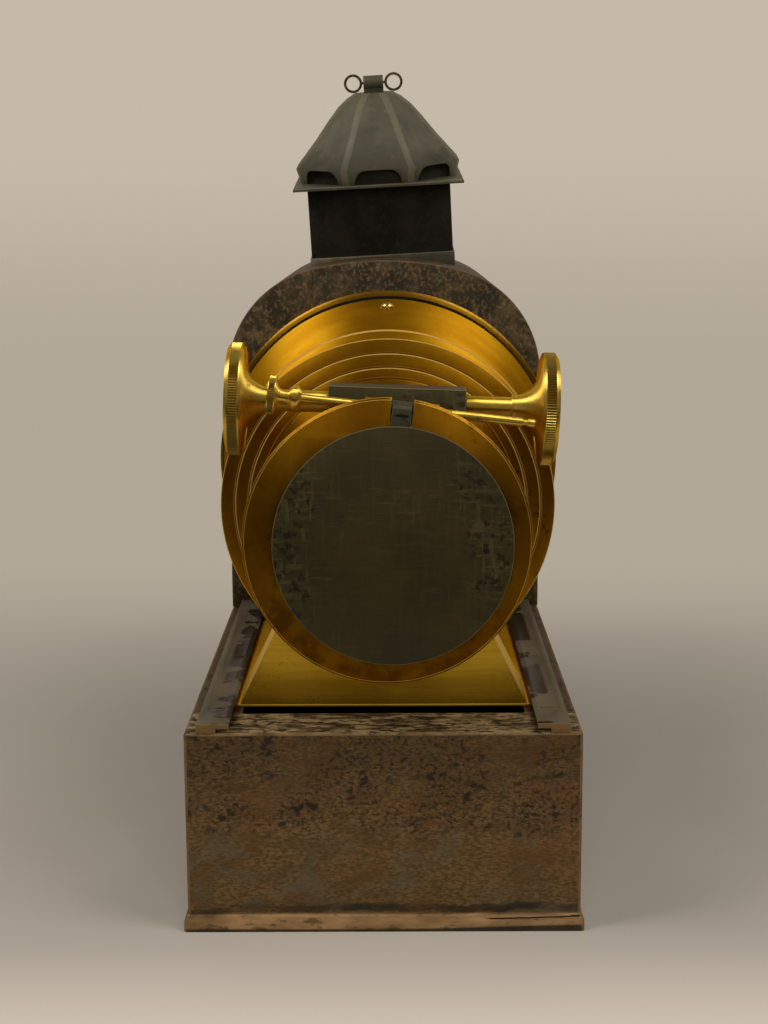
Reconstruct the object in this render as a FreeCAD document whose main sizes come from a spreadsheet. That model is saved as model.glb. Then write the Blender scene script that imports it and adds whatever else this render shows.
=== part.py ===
import FreeCAD, Part
import os
import Sketcher

# Magic lantern. X runs to the right as seen from the lens, Y runs back from the lens to the lamp, Z is up.
# The origin lies on the table under the middle of the width; lens pieces are drawn about the lens axis.
SIZES = [
    ("base_w", 150.0), ("base_len", 390.0), ("base_front", -200.0), ("deck_z", 78.5), ("base_t", 1.5),
    ("rim_out", 1.4), ("rim_h", 6.0), ("floor_t", 1.2), ("lip_len", 25.0), ("channel_side", 20.0),
    ("runner_inset", 4.7), ("runner_w", 12.4), ("runner_h", 3.4), ("runner_end", 0.5),
    ("groove_w", 5.0), ("groove_h", 1.6),
    ("screw_head_r", 3.6), ("screw_head_h", 1.4), ("screw_shank_r", 1.6), ("screw_gap", 0.1),
    ("screw_first", 21.0), ("screw_pitch", 76.0), ("screw_slot_w", 0.8), ("screw_slot_h", 0.5),
    ("house_front", 3.5), ("house_t", 1.2), ("spring_rise", 113.7), ("corner_r", 52.0), ("crown_r", 150.0),
    ("doorway_w", 116.0), ("doorway_h", 143.0), ("axis_x", 1.9), ("axis_rise", 73.3),
    ("stage_r", 81.0), ("stage_bore", 60.0), ("stage_t", 3.0), ("stage_edge", 1.0), ("stage_gap", 13.0),
    ("stage_foot", 0.4), ("post_r", 4.0), ("post_x", 40.0), ("post_drop", 50.0),
    ("shelf_w", 114.0), ("shelf_t", 2.0), ("shelf_gap", 0.2),
    ("cell_r", 57.5), ("cell_t", 3.0), ("cell_len", 44.0), ("cell_lip", 4.0), ("cell_set", 2.0),
    ("cell_flange_w", 6.0), ("cell_flange_t", 1.5),
    ("glass_r", 54.2), ("glass_ball", 92.0), ("glass_t", 19.5),
    ("drum_rear_r", 77.9), ("drum_front_r", 69.0), ("drum_len", 114.5), ("collar_r", 68.3),
    ("collar_len", 40.0), ("collar_lip", 9.0), ("brass_t", 1.4), ("slide_gap", 0.3),
    ("rim_step", 0.6), ("rim_t", 2.0),
    ("drum_screw_r", 3.2), ("drum_screw_h", 2.4), ("drum_screw_back", 24.0),
    ("draw_a_r", 62.4), ("draw_a_len", 95.0), ("draw_b_r", 56.7), ("draw_b_len", 92.0),
    ("jacket_rear_r", 52.3), ("jacket_rear_len", 90.0), ("jacket_step", 6.0), ("jacket_flange_t", 2.5),
    ("jacket_r", 39.5), ("jacket_t", 1.5), ("jacket_len", 53.0), ("slot_w", 7.6), ("slot_end", 1.5),
    ("foot_setback", 33.0), ("foot_len", 137.0), ("foot_t", 1.2), ("foot_gap", 0.2), ("foot_side", 1.0),
    ("foot_cut_w", 92.0), ("foot_neck", 42.0),
    ("saddle_gap", 1.4), ("saddle_h", 52.0), ("saddle_lean", 0.484), ("saddle_t", 1.5),
    ("lens_roll", 2.2), ("shutter_roll", 6.5),
    ("pinion_y", -165.0), ("pinion_rise", 46.4), ("box_w", 52.0), ("box_x", 2.0), ("box_len", 14.0),
    ("box_top", 6.8), ("box_deep", 17.4), ("box_wall", 1.0), ("chamber_w", 16.0),
    ("shaft_r", 2.4), ("run_gap", 0.05), ("gear_r", 4.5), ("gear_w", 5.0), ("tooth_up", 0.6),
    ("tooth_down", 0.75), ("tooth_w", 0.76),
    ("knob_r", 21.5), ("knob_rim_w", 6.5), ("knob_reach", 62.7), ("knob_sleeve_r", 4.2), ("knob_flare", 10.5),
    ("knob_edge", 1.6), ("knob_end_gap", 0.4),
    ("rack_w", 6.0), ("rack_front", -186.0), ("rack_len", 42.0), ("rack_deep", 4.7),
    ("focus_r", 37.6), ("focus_t", 1.4), ("focus_len", 76.8), ("hood_reach", 1.8), ("hood_r", 53.15),
    ("hood_t", 2.5), ("notch_w", 8.2), ("notch_deep", 11.0), ("hood_edge", 0.8),
    ("front_cell_len", 12.0), ("front_cell_set", 3.0), ("rear_cell_len", 10.0), ("cell_wall", 2.0),
    ("lens_ball", 75.0), ("lens_t", 9.5),
    ("rod_r", 1.65), ("rod_rise", 48.5), ("rod_set", 4.3), ("rod_left", 36.6), ("rod_right", 44.0),
    ("tip_r", 1.5), ("tip_len", 2.5), ("neck_r", 1.1), ("neck_len", 2.0),
    ("lug_x", 12.0), ("lug_w", 3.0), ("lug_h", 8.0), ("lug_len", 7.0),
    ("clip_w", 7.0), ("clip_t", 0.9), ("clip_gap", 0.2), ("clip_r", 2.9), ("clip_drop", 9.0), ("arm_t", 2.4),
    ("disc_r", 44.2), ("disc_t", 1.2), ("disc_x", 2.2), ("disc_drop", 0.9),
    ("grip_r", 7.0), ("grip_w", 3.0), ("grip_waist", 2.4), ("grip_neck", 5.0),
    ("bead_r", 4.6), ("bead_w", 4.4),
    ("chimney_x", -0.8), ("chimney_y", 84.0), ("chimney_lift", 4.4),
    ("chimney_roll", 2.9), ("chimney_pitch", 6.5),
    ("tube_w", 71.3), ("tube_deep", 58.0), ("tube_h", 34.8), ("tube_t", 1.0),
    ("stub_gap", 1.1), ("stub_up", 24.0), ("stub_down", 10.0), ("seat_out", 0.7), ("seat_down", 14.0),
    ("hole_gap", 1.5),
    ("plate_out", 6.5), ("plate_fore", 13.0), ("plate_t", 1.4), ("plate_hole", 56.0), ("plate_lip", 5.0),
    ("cowl_foot_r", 42.0), ("cowl_rim_r", 44.2), ("cowl_rim_h", 7.5), ("cowl_shoulder_r", 20.5),
    ("cowl_shoulder_h", 35.5), ("cowl_top_r", 10.5), ("cowl_h", 42.1), ("cowl_t", 1.0), ("vent_w", 25.0),
    ("strap_r", 3.6), ("strap_w", 10.0), ("strap_up", 1.2), ("wire_r", 0.65),
    ("loop_r", 4.0), ("loop_gap", 0.6),
    ("door_y", 56.0), ("door_w", 98.0), ("door_low", 91.0), ("door_h", 98.0), ("door_t", 1.2),
    ("door_gap", 0.3), ("door_lap", 5.0), ("barrel_r", 2.3), ("hinge_r", 1.2), ("barrel_h", 15.0),
    ("barrel_gap", 0.4), ("hinge_leaf_w", 11.0), ("hinge_rise", 14.0),
    ("door_knob_r", 6.0), ("door_knob_len", 12.0), ("door_knob_y", 64.0), ("door_knob_rise", 49.0),
    ("peep_r", 11.0), ("peep_ring_w", 5.0), ("peep_ring_t", 2.0), ("peep_y", 108.0), ("peep_rise", 60.0),
    ("tank_w", 104.0), ("tank_front", 52.0), ("tank_h", 27.7), ("tank_t", 1.0), ("lamp_gap", 0.3),
    ("shield_w", 124.0), ("shield_h", 145.0), ("shield_t", 1.2), ("shield_lift", 0.5),
    ("gallery_w", 68.0), ("gallery_front", 54.0), ("gallery_len", 68.0),
    ("gallery_h", 24.5), ("gallery_t", 1.2),
    ("wick_x", 16.0), ("wick_tube_w", 6.0), ("wick_tube_t", 0.8), ("wick_front", 62.0), ("wick_len", 52.0),
    ("wick_low", 4.0), ("wick_tube_up", 5.0), ("wick_up", 3.0), ("wick_gap", 0.1),
    ("winder_x", 23.5), ("winder_rise", 11.5), ("winder_r", 1.5),
    ("winder_front", 70.0), ("winder_out", 13.0),
    ("winder_wheel_r", 4.1), ("winder_wheel_w", 3.0), ("winder_wheel_pitch", 30.0),
    ("winder_knob_r", 7.0), ("winder_knob_w", 5.5),
    ("flue_w", 60.0), ("flue_front", 58.0), ("flue_len", 60.0), ("flue_h", 81.0), ("flue_t", 0.8),
    ("pane_w", 46.0), ("pane_h", 62.0), ("pane_t", 1.5), ("pane_lap", 2.0), ("pane_low", 8.0),
    ("mirror_r", 35.0), ("mirror_deep", 8.0), ("mirror_t", 1.2), ("mirror_gap", 26.3), ("mirror_stem_r", 3.0),
    ("filler_r", 8.0), ("filler_h", 8.0), ("filler_x", 38.0),
]
FUNCTIONS = ("sqrt",)
V = FreeCAD.Vector
TURNS = {
    "+z": FreeCAD.Rotation(),
    "+y": FreeCAD.Rotation(V(1, 0, 0), -90),
    "+x": FreeCAD.Rotation(V(0, 1, 0), 90),
}

# Places that several pieces share, written in the sizes above.
BACK = "(base_front+base_len)"
AXIS = "(deck_z+axis_rise)"
RUNNER_OUT = "(base_w/2-runner_inset)"
RUNNER_IN = "(base_w/2-runner_inset-runner_w)"
HOUSE_TOP = "(deck_z+spring_rise+crown_r-sqrt((crown_r-corner_r)^2-(base_w/2-corner_r)^2))"
STAGE = "(house_front-stage_t)"
DRUM_REAR = "(house_front-stage_t-stage_gap)"
DRUM_FRONT = "(house_front-stage_t-stage_gap-drum_len)"
JACKET_FLANGE = "(house_front-stage_t-stage_gap-drum_len-jacket_step)"
FOOT_FRONT = "(base_front+foot_setback)"
FOOT_Z = "(deck_z+foot_gap)"
HOOD_BACK = "(base_front-hood_reach)"
HOOD_FRONT = "(base_front-hood_reach-hood_t)"
ROD_Y = "(base_front-hood_reach+rod_set)"
TANK_TOP = "(deck_z+lamp_gap+tank_h)"
GALLERY_TOP = "(deck_z+lamp_gap+tank_h+gallery_h)"
CHIMNEY_FOOT = ("chimney_x", "chimney_y", HOUSE_TOP + "+chimney_lift")
FAR = "400"

doc = FreeCAD.newDocument("magic_lantern")
sheet = doc.addObject("Spreadsheet::Sheet", "Dims")
for row, (alias, value) in enumerate(SIZES, 1):
    sheet.set("A%d" % row, alias)
    sheet.set("B%d" % row, str(value))
    sheet.setAlias("B%d" % row, alias)
doc.recompute()
NODES = []


def refs(text):
    """Point every size named in the text at the sheet."""
    out = ""
    word = ""
    for mark in text + " ":
        if mark.isalnum() or mark == "_":
            word += mark
            continue
        if word and word[0].isalpha() and word not in FUNCTIONS:
            word = "Dims." + word
        out += word + mark
        word = ""
    return out.strip()


def place(piece, at, rotation):
    """Bind a piece's position to the sheet and turn it."""
    for axis, text in zip("xyz", at):
        piece.setExpression("Placement.Base." + axis, refs(text))
    piece.Placement.Rotation = rotation
    return piece


def solid(kind, at, turn, **texts):
    """A primitive with its sizes bound to the sheet."""
    piece = doc.addObject("Part::" + kind, kind)
    for name, text in texts.items():
        piece.setExpression(name, refs(text))
    return place(piece, at, TURNS[turn])


def block(x, y, z):
    """A box between two faces along each axis."""
    spans = ["(%s)-(%s)" % (high, low) for low, high in (x, y, z)]
    return solid("Box", (x[0], y[0], z[0]), "+z", Length=spans[0], Width=spans[1], Height=spans[2])


def rod(at, turn, radius, length):
    return solid("Cylinder", at, turn, Radius=radius, Height=length)


def half(width):
    """The two faces of a width centred on zero."""
    return ("-(%s)/2" % width, "(%s)/2" % width)


def about(middle, width):
    """The two faces of a width centred on a place."""
    return ("(%s)-(%s)/2" % (middle, width), "(%s)+(%s)/2" % (middle, width))


def run(start, length):
    """The two faces of a length from a starting place."""
    return (start, "(%s)+(%s)" % (start, length))


def fuse(*pieces):
    joined = doc.addObject("Part::MultiFuse", "joined")
    joined.Shapes = list(pieces)
    return joined


def group(*pieces):
    together = doc.addObject("Part::Compound", "together")
    together.Links = list(pieces)
    return together


def cut(base, *tools):
    result = doc.addObject("Part::Cut", "pared")
    result.Base = base
    result.Tool = tools[0] if len(tools) == 1 else group(*tools)
    return result


def common(first, second):
    result = doc.addObject("Part::Common", "shared")
    result.Base = first
    result.Tool = second
    return result


def outline(body, points, role):
    """A closed sketch with every corner's two coordinates bound to the sheet."""
    sketch = body.newObject("Sketcher::SketchObject", "outline")
    plane = next(item for item in body.Origin.OriginFeatures if item.Role == role)
    sketch.AttachmentSupport = [(plane, "")]
    sketch.MapMode = "FlatFace"
    count = len(points)
    start = [V(20 + step, 20 + step * step, 0) for step in range(count)]
    for step in range(count):
        sketch.addGeometry(Part.LineSegment(start[step], start[(step + 1) % count]), False)
    rules = [Sketcher.Constraint("Coincident", step, 2, (step + 1) % count, 1) for step in range(count)]
    for step in range(count):
        rules.append(Sketcher.Constraint("DistanceX", -1, 1, step, 1, start[step].x))
        rules.append(Sketcher.Constraint("DistanceY", -1, 1, step, 1, start[step].y))
    sketch.addConstraint(rules)
    for step, (across, along) in enumerate(points):
        sketch.setExpression("Constraints[%d]" % (count + 2 * step), refs(across))
        sketch.setExpression("Constraints[%d]" % (count + 2 * step + 1), refs(along))
    return sketch


def turned(points):
    """A lathe-turned body about Y; each corner is a radius and a place along Y."""
    body = doc.addObject("PartDesign::Body", "turned")
    sketch = outline(body, points, "XY_Plane")
    spin = body.newObject("PartDesign::Revolution", "spin")
    spin.Profile = sketch
    spin.ReferenceAxis = (sketch, ["V_Axis"])
    spin.Angle = 360
    body.Tip = spin
    return body


def padded(points, start, length):
    """A body with an outline in X and Z, running back along Y from its start."""
    body = doc.addObject("PartDesign::Body", "padded")
    pad = body.newObject("PartDesign::Pad", "pad")
    pad.Profile = outline(body, points, "XZ_Plane")
    pad.setExpression("Length", refs(length))
    pad.Reversed = True
    body.Tip = pad
    return place(body, ("0", start, "0"), FreeCAD.Rotation())


def node(label, piece):
    piece.Label = label
    NODES.append(piece)
    return piece


def on_axis(label, piece, roll=0.0):
    """A piece drawn about the lens axis, rolled about it as the lens front sits."""
    place(piece, ("axis_x", "0", AXIS), FreeCAD.Rotation(V(0, 1, 0), roll))
    return node(label, piece)


def size(alias):
    return float(sheet.get(alias))


LENS_ROLL = size("lens_roll")
SHUTTER_ROLL = size("shutter_roll")
CHIMNEY_TURN = FreeCAD.Rotation(V(0, 1, 0), -size("chimney_roll")).multiply(
    FreeCAD.Rotation(V(1, 0, 0), size("chimney_pitch")))


def arch(inset, low, start, length):
    """The three-arc lamphouse outline, drawn inset from the outer skin and run back along Y."""
    side = size("base_w") / 2 - size(inset) if inset else size("base_w") / 2
    corner = size("corner_r") - size(inset) if inset else size("corner_r")
    crown = size("crown_r") - size(inset) if inset else size("crown_r")
    spring = size("deck_z") + size("spring_rise")
    rise = ((crown - corner) ** 2 - (side - corner) ** 2) ** 0.5
    lean = V(1, 0, 0).getAngle(V(side - corner, rise, 0))
    straight = 3.141592653589793
    body = doc.addObject("PartDesign::Body", "arch")
    sketch = body.newObject("Sketcher::SketchObject", "arch_outline")
    plane = next(item for item in body.Origin.OriginFeatures if item.Role == "XZ_Plane")
    sketch.AttachmentSupport = [(plane, "")]
    sketch.MapMode = "FlatFace"
    floor = size("deck_z")
    up = V(0, 0, 1)
    sketch.addGeometry(Part.LineSegment(V(side, floor, 0), V(side, spring, 0)), False)
    sketch.addGeometry(Part.ArcOfCircle(Part.Circle(V(side - corner, spring, 0), up, corner), 0, lean), False)
    sketch.addGeometry(
        Part.ArcOfCircle(Part.Circle(V(0, spring - rise, 0), up, crown), lean, straight - lean), False)
    left = Part.Circle(V(corner - side, spring, 0), up, corner)
    sketch.addGeometry(Part.ArcOfCircle(left, straight - lean, straight), False)
    sketch.addGeometry(Part.LineSegment(V(-side, spring, 0), V(-side, floor, 0)), False)
    sketch.addGeometry(Part.LineSegment(V(-side, floor, 0), V(side, floor, 0)), False)
    less = "-" + inset if inset else ""
    rules = [Sketcher.Constraint("Tangent", step, 2, step + 1, 1) for step in range(4)]
    rules.append(Sketcher.Constraint("Coincident", 4, 2, 5, 1))
    rules.append(Sketcher.Constraint("Coincident", 5, 2, 0, 1))
    rules.append(Sketcher.Constraint("Vertical", 0))
    rules.append(Sketcher.Constraint("Vertical", 4))
    rules.append(Sketcher.Constraint("Horizontal", 5))
    rules.append(Sketcher.Constraint("Radius", 1, corner))
    rules.append(Sketcher.Constraint("Radius", 2, crown))
    rules.append(Sketcher.Constraint("Radius", 3, corner))
    rules.append(Sketcher.Constraint("DistanceX", -1, 1, 0, 1, side))
    rules.append(Sketcher.Constraint("DistanceX", -1, 1, 4, 2, -side))
    rules.append(Sketcher.Constraint("DistanceY", -1, 1, 0, 1, floor))
    rules.append(Sketcher.Constraint("DistanceY", -1, 1, 0, 2, spring))
    rules.append(Sketcher.Constraint("DistanceY", -1, 1, 4, 1, spring))
    sketch.addConstraint(rules)
    drives = ["corner_r" + less, "crown_r" + less, "corner_r" + less, "base_w/2" + less,
              "-(base_w/2" + less + ")", low, "deck_z+spring_rise", "deck_z+spring_rise"]
    for step, text in enumerate(drives):
        sketch.setExpression("Constraints[%d]" % (9 + step), refs(text))
    pad = body.newObject("PartDesign::Pad", "pad")
    pad.Profile = sketch
    pad.setExpression("Length", refs(length))
    pad.Reversed = True
    body.Tip = pad
    return place(body, ("0", start, "0"), FreeCAD.Rotation())


def base():
    """Folded sheet-iron box with a flared foot rim; the deck is open between the runners."""
    middle = "base_front+base_len/2"
    box = block(half("base_w"), ("base_front", BACK), ("0", "deck_z"))
    flare = doc.addObject("Part::Wedge", "flare")
    spans = {"X": "base_w/2", "Z": "base_len/2"}
    for axis, text in spans.items():
        flare.setExpression(axis + "min", refs("-(%s+rim_out)" % text))
        flare.setExpression(axis + "max", refs("%s+rim_out" % text))
        flare.setExpression(axis + "2min", refs("-" + text))
        flare.setExpression(axis + "2max", refs(text))
    flare.setExpression("Ymin", "0")
    flare.setExpression("Ymax", refs("rim_h"))
    place(flare, ("0", middle, "0"), FreeCAD.Rotation(V(1, 0, 0), 90))
    within = (half("base_w-2*base_t"), ("base_front+base_t", BACK + "-base_t"))
    inside = block(*within, ("-1", "deck_z-base_t"))
    channel = block(half("base_w-2*channel_side"), ("base_front+lip_len", "house_front"),
                    ("deck_z-2*base_t", "deck_z+1"))
    node("base_shell", cut(fuse(box, flare), inside, channel, *screw_set("deck_z-2*base_t", "screw_gap")))
    node("base_floor", block(*within, ("0", "floor_t")))


def screw_set(low, grow):
    """Shanks and sunk heads of the runner screws, three to a side, grown for their holes."""
    screws = []
    for side in ("", "-"):
        for place_along in range(3):
            at_x = side + "(%s-runner_w/2)" % RUNNER_OUT
            at_y = "base_front+screw_first+%d*screw_pitch" % place_along
            shank = rod((at_x, at_y, low), "+z", "screw_shank_r+" + grow, "deck_z+runner_h-(%s)" % low)
            head_low = "deck_z+runner_h-screw_head_h-%s" % grow
            head = rod((at_x, at_y, head_low), "+z", "screw_head_r+" + grow, "screw_head_h+" + grow)
            screws.append(fuse(shank, head))
    return screws


def runners():
    """Two strips on the deck, each grooved underneath for the carriage foot and held by three screws."""
    for label, side in (("runner_right", 1), ("runner_left", -1)):
        wide = (RUNNER_IN, RUNNER_OUT)
        deep = (RUNNER_IN + "-1", RUNNER_IN + "+groove_w")
        if side < 0:
            wide = ("-" + RUNNER_OUT, "-" + RUNNER_IN)
            deep = ("-%s-groove_w" % RUNNER_IN, "1-" + RUNNER_IN)
        long = ("base_front", "house_front-runner_end")
        strip = block(wide, long, ("deck_z", "deck_z+runner_h"))
        groove = block(deep, ("base_front-1", "house_front"), ("deck_z-1", "deck_z+groove_h"))
        node(label, cut(strip, groove, *screw_set("deck_z-base_t", "screw_gap")))
    slot_z = ("deck_z+runner_h-screw_slot_h", "deck_z+runner_h+1")
    slots = []
    for place_along in range(3):
        at_y = "base_front+screw_first+%d*screw_pitch" % place_along
        slots.append(block(half("base_w"), about(at_y, "screw_slot_w"), slot_z))
    node("runner_screws", cut(group(*screw_set("deck_z-base_t", "0")), *slots))


def lamphouse():
    """Arch-top sheet-iron shell between a front plate and a back plate with the lamp doorway."""
    front_plate = arch("", "deck_z", "house_front", "house_t")
    hole = rod(("axis_x", "house_front-1", AXIS), "+y", "cell_r+slide_gap", "house_t+2")
    node("house_front", cut(front_plate, hole))
    outer = arch("", "deck_z", "house_front+house_t", "base_front+base_len-house_front-2*house_t")
    inner = arch("house_t", "deck_z-1", "house_front", "base_front+base_len-house_front")
    door_hole = block(("base_w/2-5", "base_w/2+5"), ("door_y+door_lap", "door_y+door_w-door_lap"),
                      ("door_low+door_lap", "door_low+door_h-door_lap"))
    flue_hole = block(about("chimney_x", "tube_w-2*tube_t-2*stub_gap+2*hole_gap"),
                      about("chimney_y", "tube_deep-2*tube_t-2*stub_gap+2*hole_gap"),
                      ("deck_z+spring_rise", HOUSE_TOP + "+5"))
    node("house_shell", cut(outer, inner, door_hole, flue_hole))
    back_plate = arch("", "deck_z", BACK + "-house_t", "house_t")
    doorway = block(half("doorway_w"), (BACK + "-house_t-1", BACK + "+1"), ("deck_z-1", "deck_z+doorway_h"))
    node("house_back", cut(back_plate, doorway))


def side_door():
    """Sheet door lapping its opening, on a three-knuckle hinge, with a knob and a round peep window."""
    pin_x = "base_w/2+door_gap+barrel_r"
    pin_y = "door_y+door_w+barrel_r+door_gap"
    face = ("base_w/2+door_gap", "base_w/2+door_gap+door_t")
    top = "door_low+door_h"
    leaf = block(face, ("door_y", "door_y+door_w"), ("door_low", top))
    moving = []
    clear = "(%s)+barrel_r+door_gap" % pin_y
    fixed = [block(("base_w/2", "base_w/2+door_t"), run(clear, "hinge_leaf_w"), ("door_low", top))]
    lower = ("door_low+hinge_rise", "door_low+hinge_rise+barrel_h")
    upper = (top + "-hinge_rise-barrel_h", top + "-hinge_rise")
    for low, high in (lower, upper):
        moving.append(rod((pin_x, pin_y, low), "+z", "barrel_r", "(%s)-(%s)" % (high, low)))
        moving.append(block(face, ("door_y+door_w-1", pin_y), (low, high)))
    gaps = (("door_low", lower[0] + "-barrel_gap"), (lower[1] + "+barrel_gap", upper[0] + "-barrel_gap"),
            (upper[1] + "+barrel_gap", top))
    for low, high in gaps:
        fixed.append(rod((pin_x, pin_y, low), "+z", "barrel_r", "(%s)-(%s)" % (high, low)))
        fixed.append(block(("base_w/2", "base_w/2+door_t"), (pin_y, clear + "+1"), (low, high)))
    bore = rod((pin_x, pin_y, "door_low-1"), "+z", "hinge_r+run_gap", "door_h+2")
    tight = rod((pin_x, pin_y, "door_low-1"), "+z", "hinge_r", "door_h+2")
    peep = rod(("base_w/2", "peep_y", "door_low+peep_rise"), "+x", "peep_r", "5")
    node("door_leaf", cut(fuse(leaf, *moving), bore, peep))
    node("door_hinge_leaf", cut(fuse(*fixed), tight))
    node("door_hinge_pin", rod((pin_x, pin_y, "door_low-1"), "+z", "hinge_r", "door_h+2"))
    knob = turned([("0", "0"), ("door_knob_r*0.4", "0"), ("door_knob_r*0.4", "door_knob_len*0.4"),
                   ("door_knob_r*0.9", "door_knob_len*0.55"), ("door_knob_r", "door_knob_len*0.75"),
                   ("door_knob_r*0.8", "door_knob_len*0.95"), ("0", "door_knob_len")])
    outside = "base_w/2+door_gap+door_t"
    to_right = FreeCAD.Rotation(V(0, 0, 1), -90)
    node("door_knob", place(knob, (outside, "door_knob_y", "door_low+door_knob_rise"), to_right))
    ring = turned([("peep_r", "0"), ("peep_r+peep_ring_w", "0"), ("peep_r+peep_ring_w*0.8", "peep_ring_t"),
                   ("peep_r+peep_ring_w*0.2", "peep_ring_t")])
    node("door_peep_ring", place(ring, (outside, "peep_y", "door_low+peep_rise"), to_right))
    node("door_peep_glass", rod((face[0], "peep_y", "door_low+peep_rise"), "+x", "peep_r", "door_t"))


def slide_stage():
    """Brass ring on the lamphouse front, two posts that carry the drum, and the shelf a slide stands on."""
    ring = turned([("stage_bore", "house_front"), ("stage_r", "house_front"),
                   ("stage_r", STAGE + "+stage_edge"), ("stage_r-stage_edge", STAGE), ("stage_bore", STAGE)])
    flat = block(half(FAR), (STAGE + "-1", "house_front+1"), ("-" + FAR, "stage_foot-axis_rise"))
    on_axis("stage_ring", cut(ring, flat))
    posts = []
    for side in ("", "-"):
        posts.append(rod((side + "post_x", DRUM_REAR, "-post_drop"), "+y", "post_r", "stage_gap"))
    on_axis("stage_posts", group(*posts))
    shelf = block(half("shelf_w"), (DRUM_REAR + "+shelf_gap", STAGE + "-shelf_gap"),
                  run("post_r-post_drop", "shelf_t"))
    on_axis("stage_shelf", group(shelf))


def convex(radius, ball, thick, flat_y, way):
    """A plano-convex lens about Y, flat at one place and swelling along Y or against it."""
    start = flat_y if way > 0 else "(%s)-(%s)" % (flat_y, thick)
    middle = "(%s)+(%s)-(%s)" % (flat_y, thick, ball)
    if way < 0:
        middle = "(%s)-(%s)+(%s)" % (flat_y, thick, ball)
    barrel = rod(("0", start, "0"), "+y", radius, thick)
    return common(barrel, solid("Sphere", ("0", middle, "0"), "+z", Radius=ball))


def condenser():
    """Turned cell through the lamphouse front, holding two plano-convex lenses bulge to bulge."""
    front = "(house_front-cell_set)"
    rear = "(house_front-cell_set+cell_len)"
    inside = "house_front+house_t"
    cell = turned([("cell_r-cell_t-cell_lip", front), ("cell_r", front), ("cell_r", inside),
                   ("cell_r+cell_flange_w", inside), ("cell_r+cell_flange_w", inside + "+cell_flange_t"),
                   ("cell_r", inside + "+cell_flange_t"), ("cell_r", rear), ("cell_r-cell_t", rear),
                   ("cell_r-cell_t", front + "+cell_set"), ("cell_r-cell_t-cell_lip", front + "+cell_set")])
    on_axis("condenser_cell", cell)
    on_axis("condenser_lens_front", convex("glass_r", "glass_ball", "glass_t", front + "+cell_set", 1))
    on_axis("condenser_lens_rear", convex("glass_r", "glass_ball", "glass_t", rear, -1))


def drum():
    """Tapered brass drum with a straight collar in front and three round-head screws at the rear."""
    step_y = DRUM_FRONT + "+collar_len"
    shell = turned([("draw_a_r+slide_gap", DRUM_FRONT), ("collar_r", DRUM_FRONT), ("collar_r", step_y),
                    ("drum_front_r", step_y), ("drum_rear_r", DRUM_REAR), ("stage_bore", DRUM_REAR),
                    ("stage_bore", DRUM_REAR + "-brass_t"), ("drum_rear_r-brass_t", DRUM_REAR + "-brass_t"),
                    ("drum_front_r-brass_t", step_y), ("collar_r-brass_t", step_y),
                    ("collar_r-brass_t", DRUM_FRONT + "+collar_lip"),
                    ("draw_a_r+slide_gap", DRUM_FRONT + "+collar_lip")])
    on_axis("drum", shell)
    taper = "(drum_rear_r-drum_front_r)/(drum_len-collar_len)"
    seat = "drum_rear_r-(drum_screw_back-drum_screw_r)*%s" % taper
    screws = []
    for turn in (0, 120, 240):
        head = turned([("0", "0"), ("drum_screw_r", "0"), ("drum_screw_r*0.92", "drum_screw_h*0.5"),
                       ("drum_screw_r*0.6", "drum_screw_h*0.88"), ("0", "drum_screw_h")])
        around = FreeCAD.Rotation(V(0, 1, 0), turn).multiply(FreeCAD.Rotation(V(1, 0, 0), 90))
        way = around.multVec(V(0, 1, 0))
        at = ("(%s)*(%.9f)" % (seat, way.x), DRUM_REAR + "-drum_screw_back", "(%s)*(%.9f)" % (seat, way.z))
        screws.append(place(head, at, around))
    on_axis("drum_screws", group(*screws))


def draw(label, radius, next_radius, length, step):
    """A telescopic brass draw: a thin tube with a flat front rim round the next draw."""
    front = DRUM_FRONT + "-%d*rim_step" % step
    rear = front + "+" + length
    on_axis(label, turned([(next_radius + "+slide_gap", front), (radius, front), (radius, rear),
                           (radius + "-brass_t", rear), (radius + "-brass_t", front + "+rim_t"),
                           (next_radius + "+slide_gap", front + "+rim_t")]))


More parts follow.
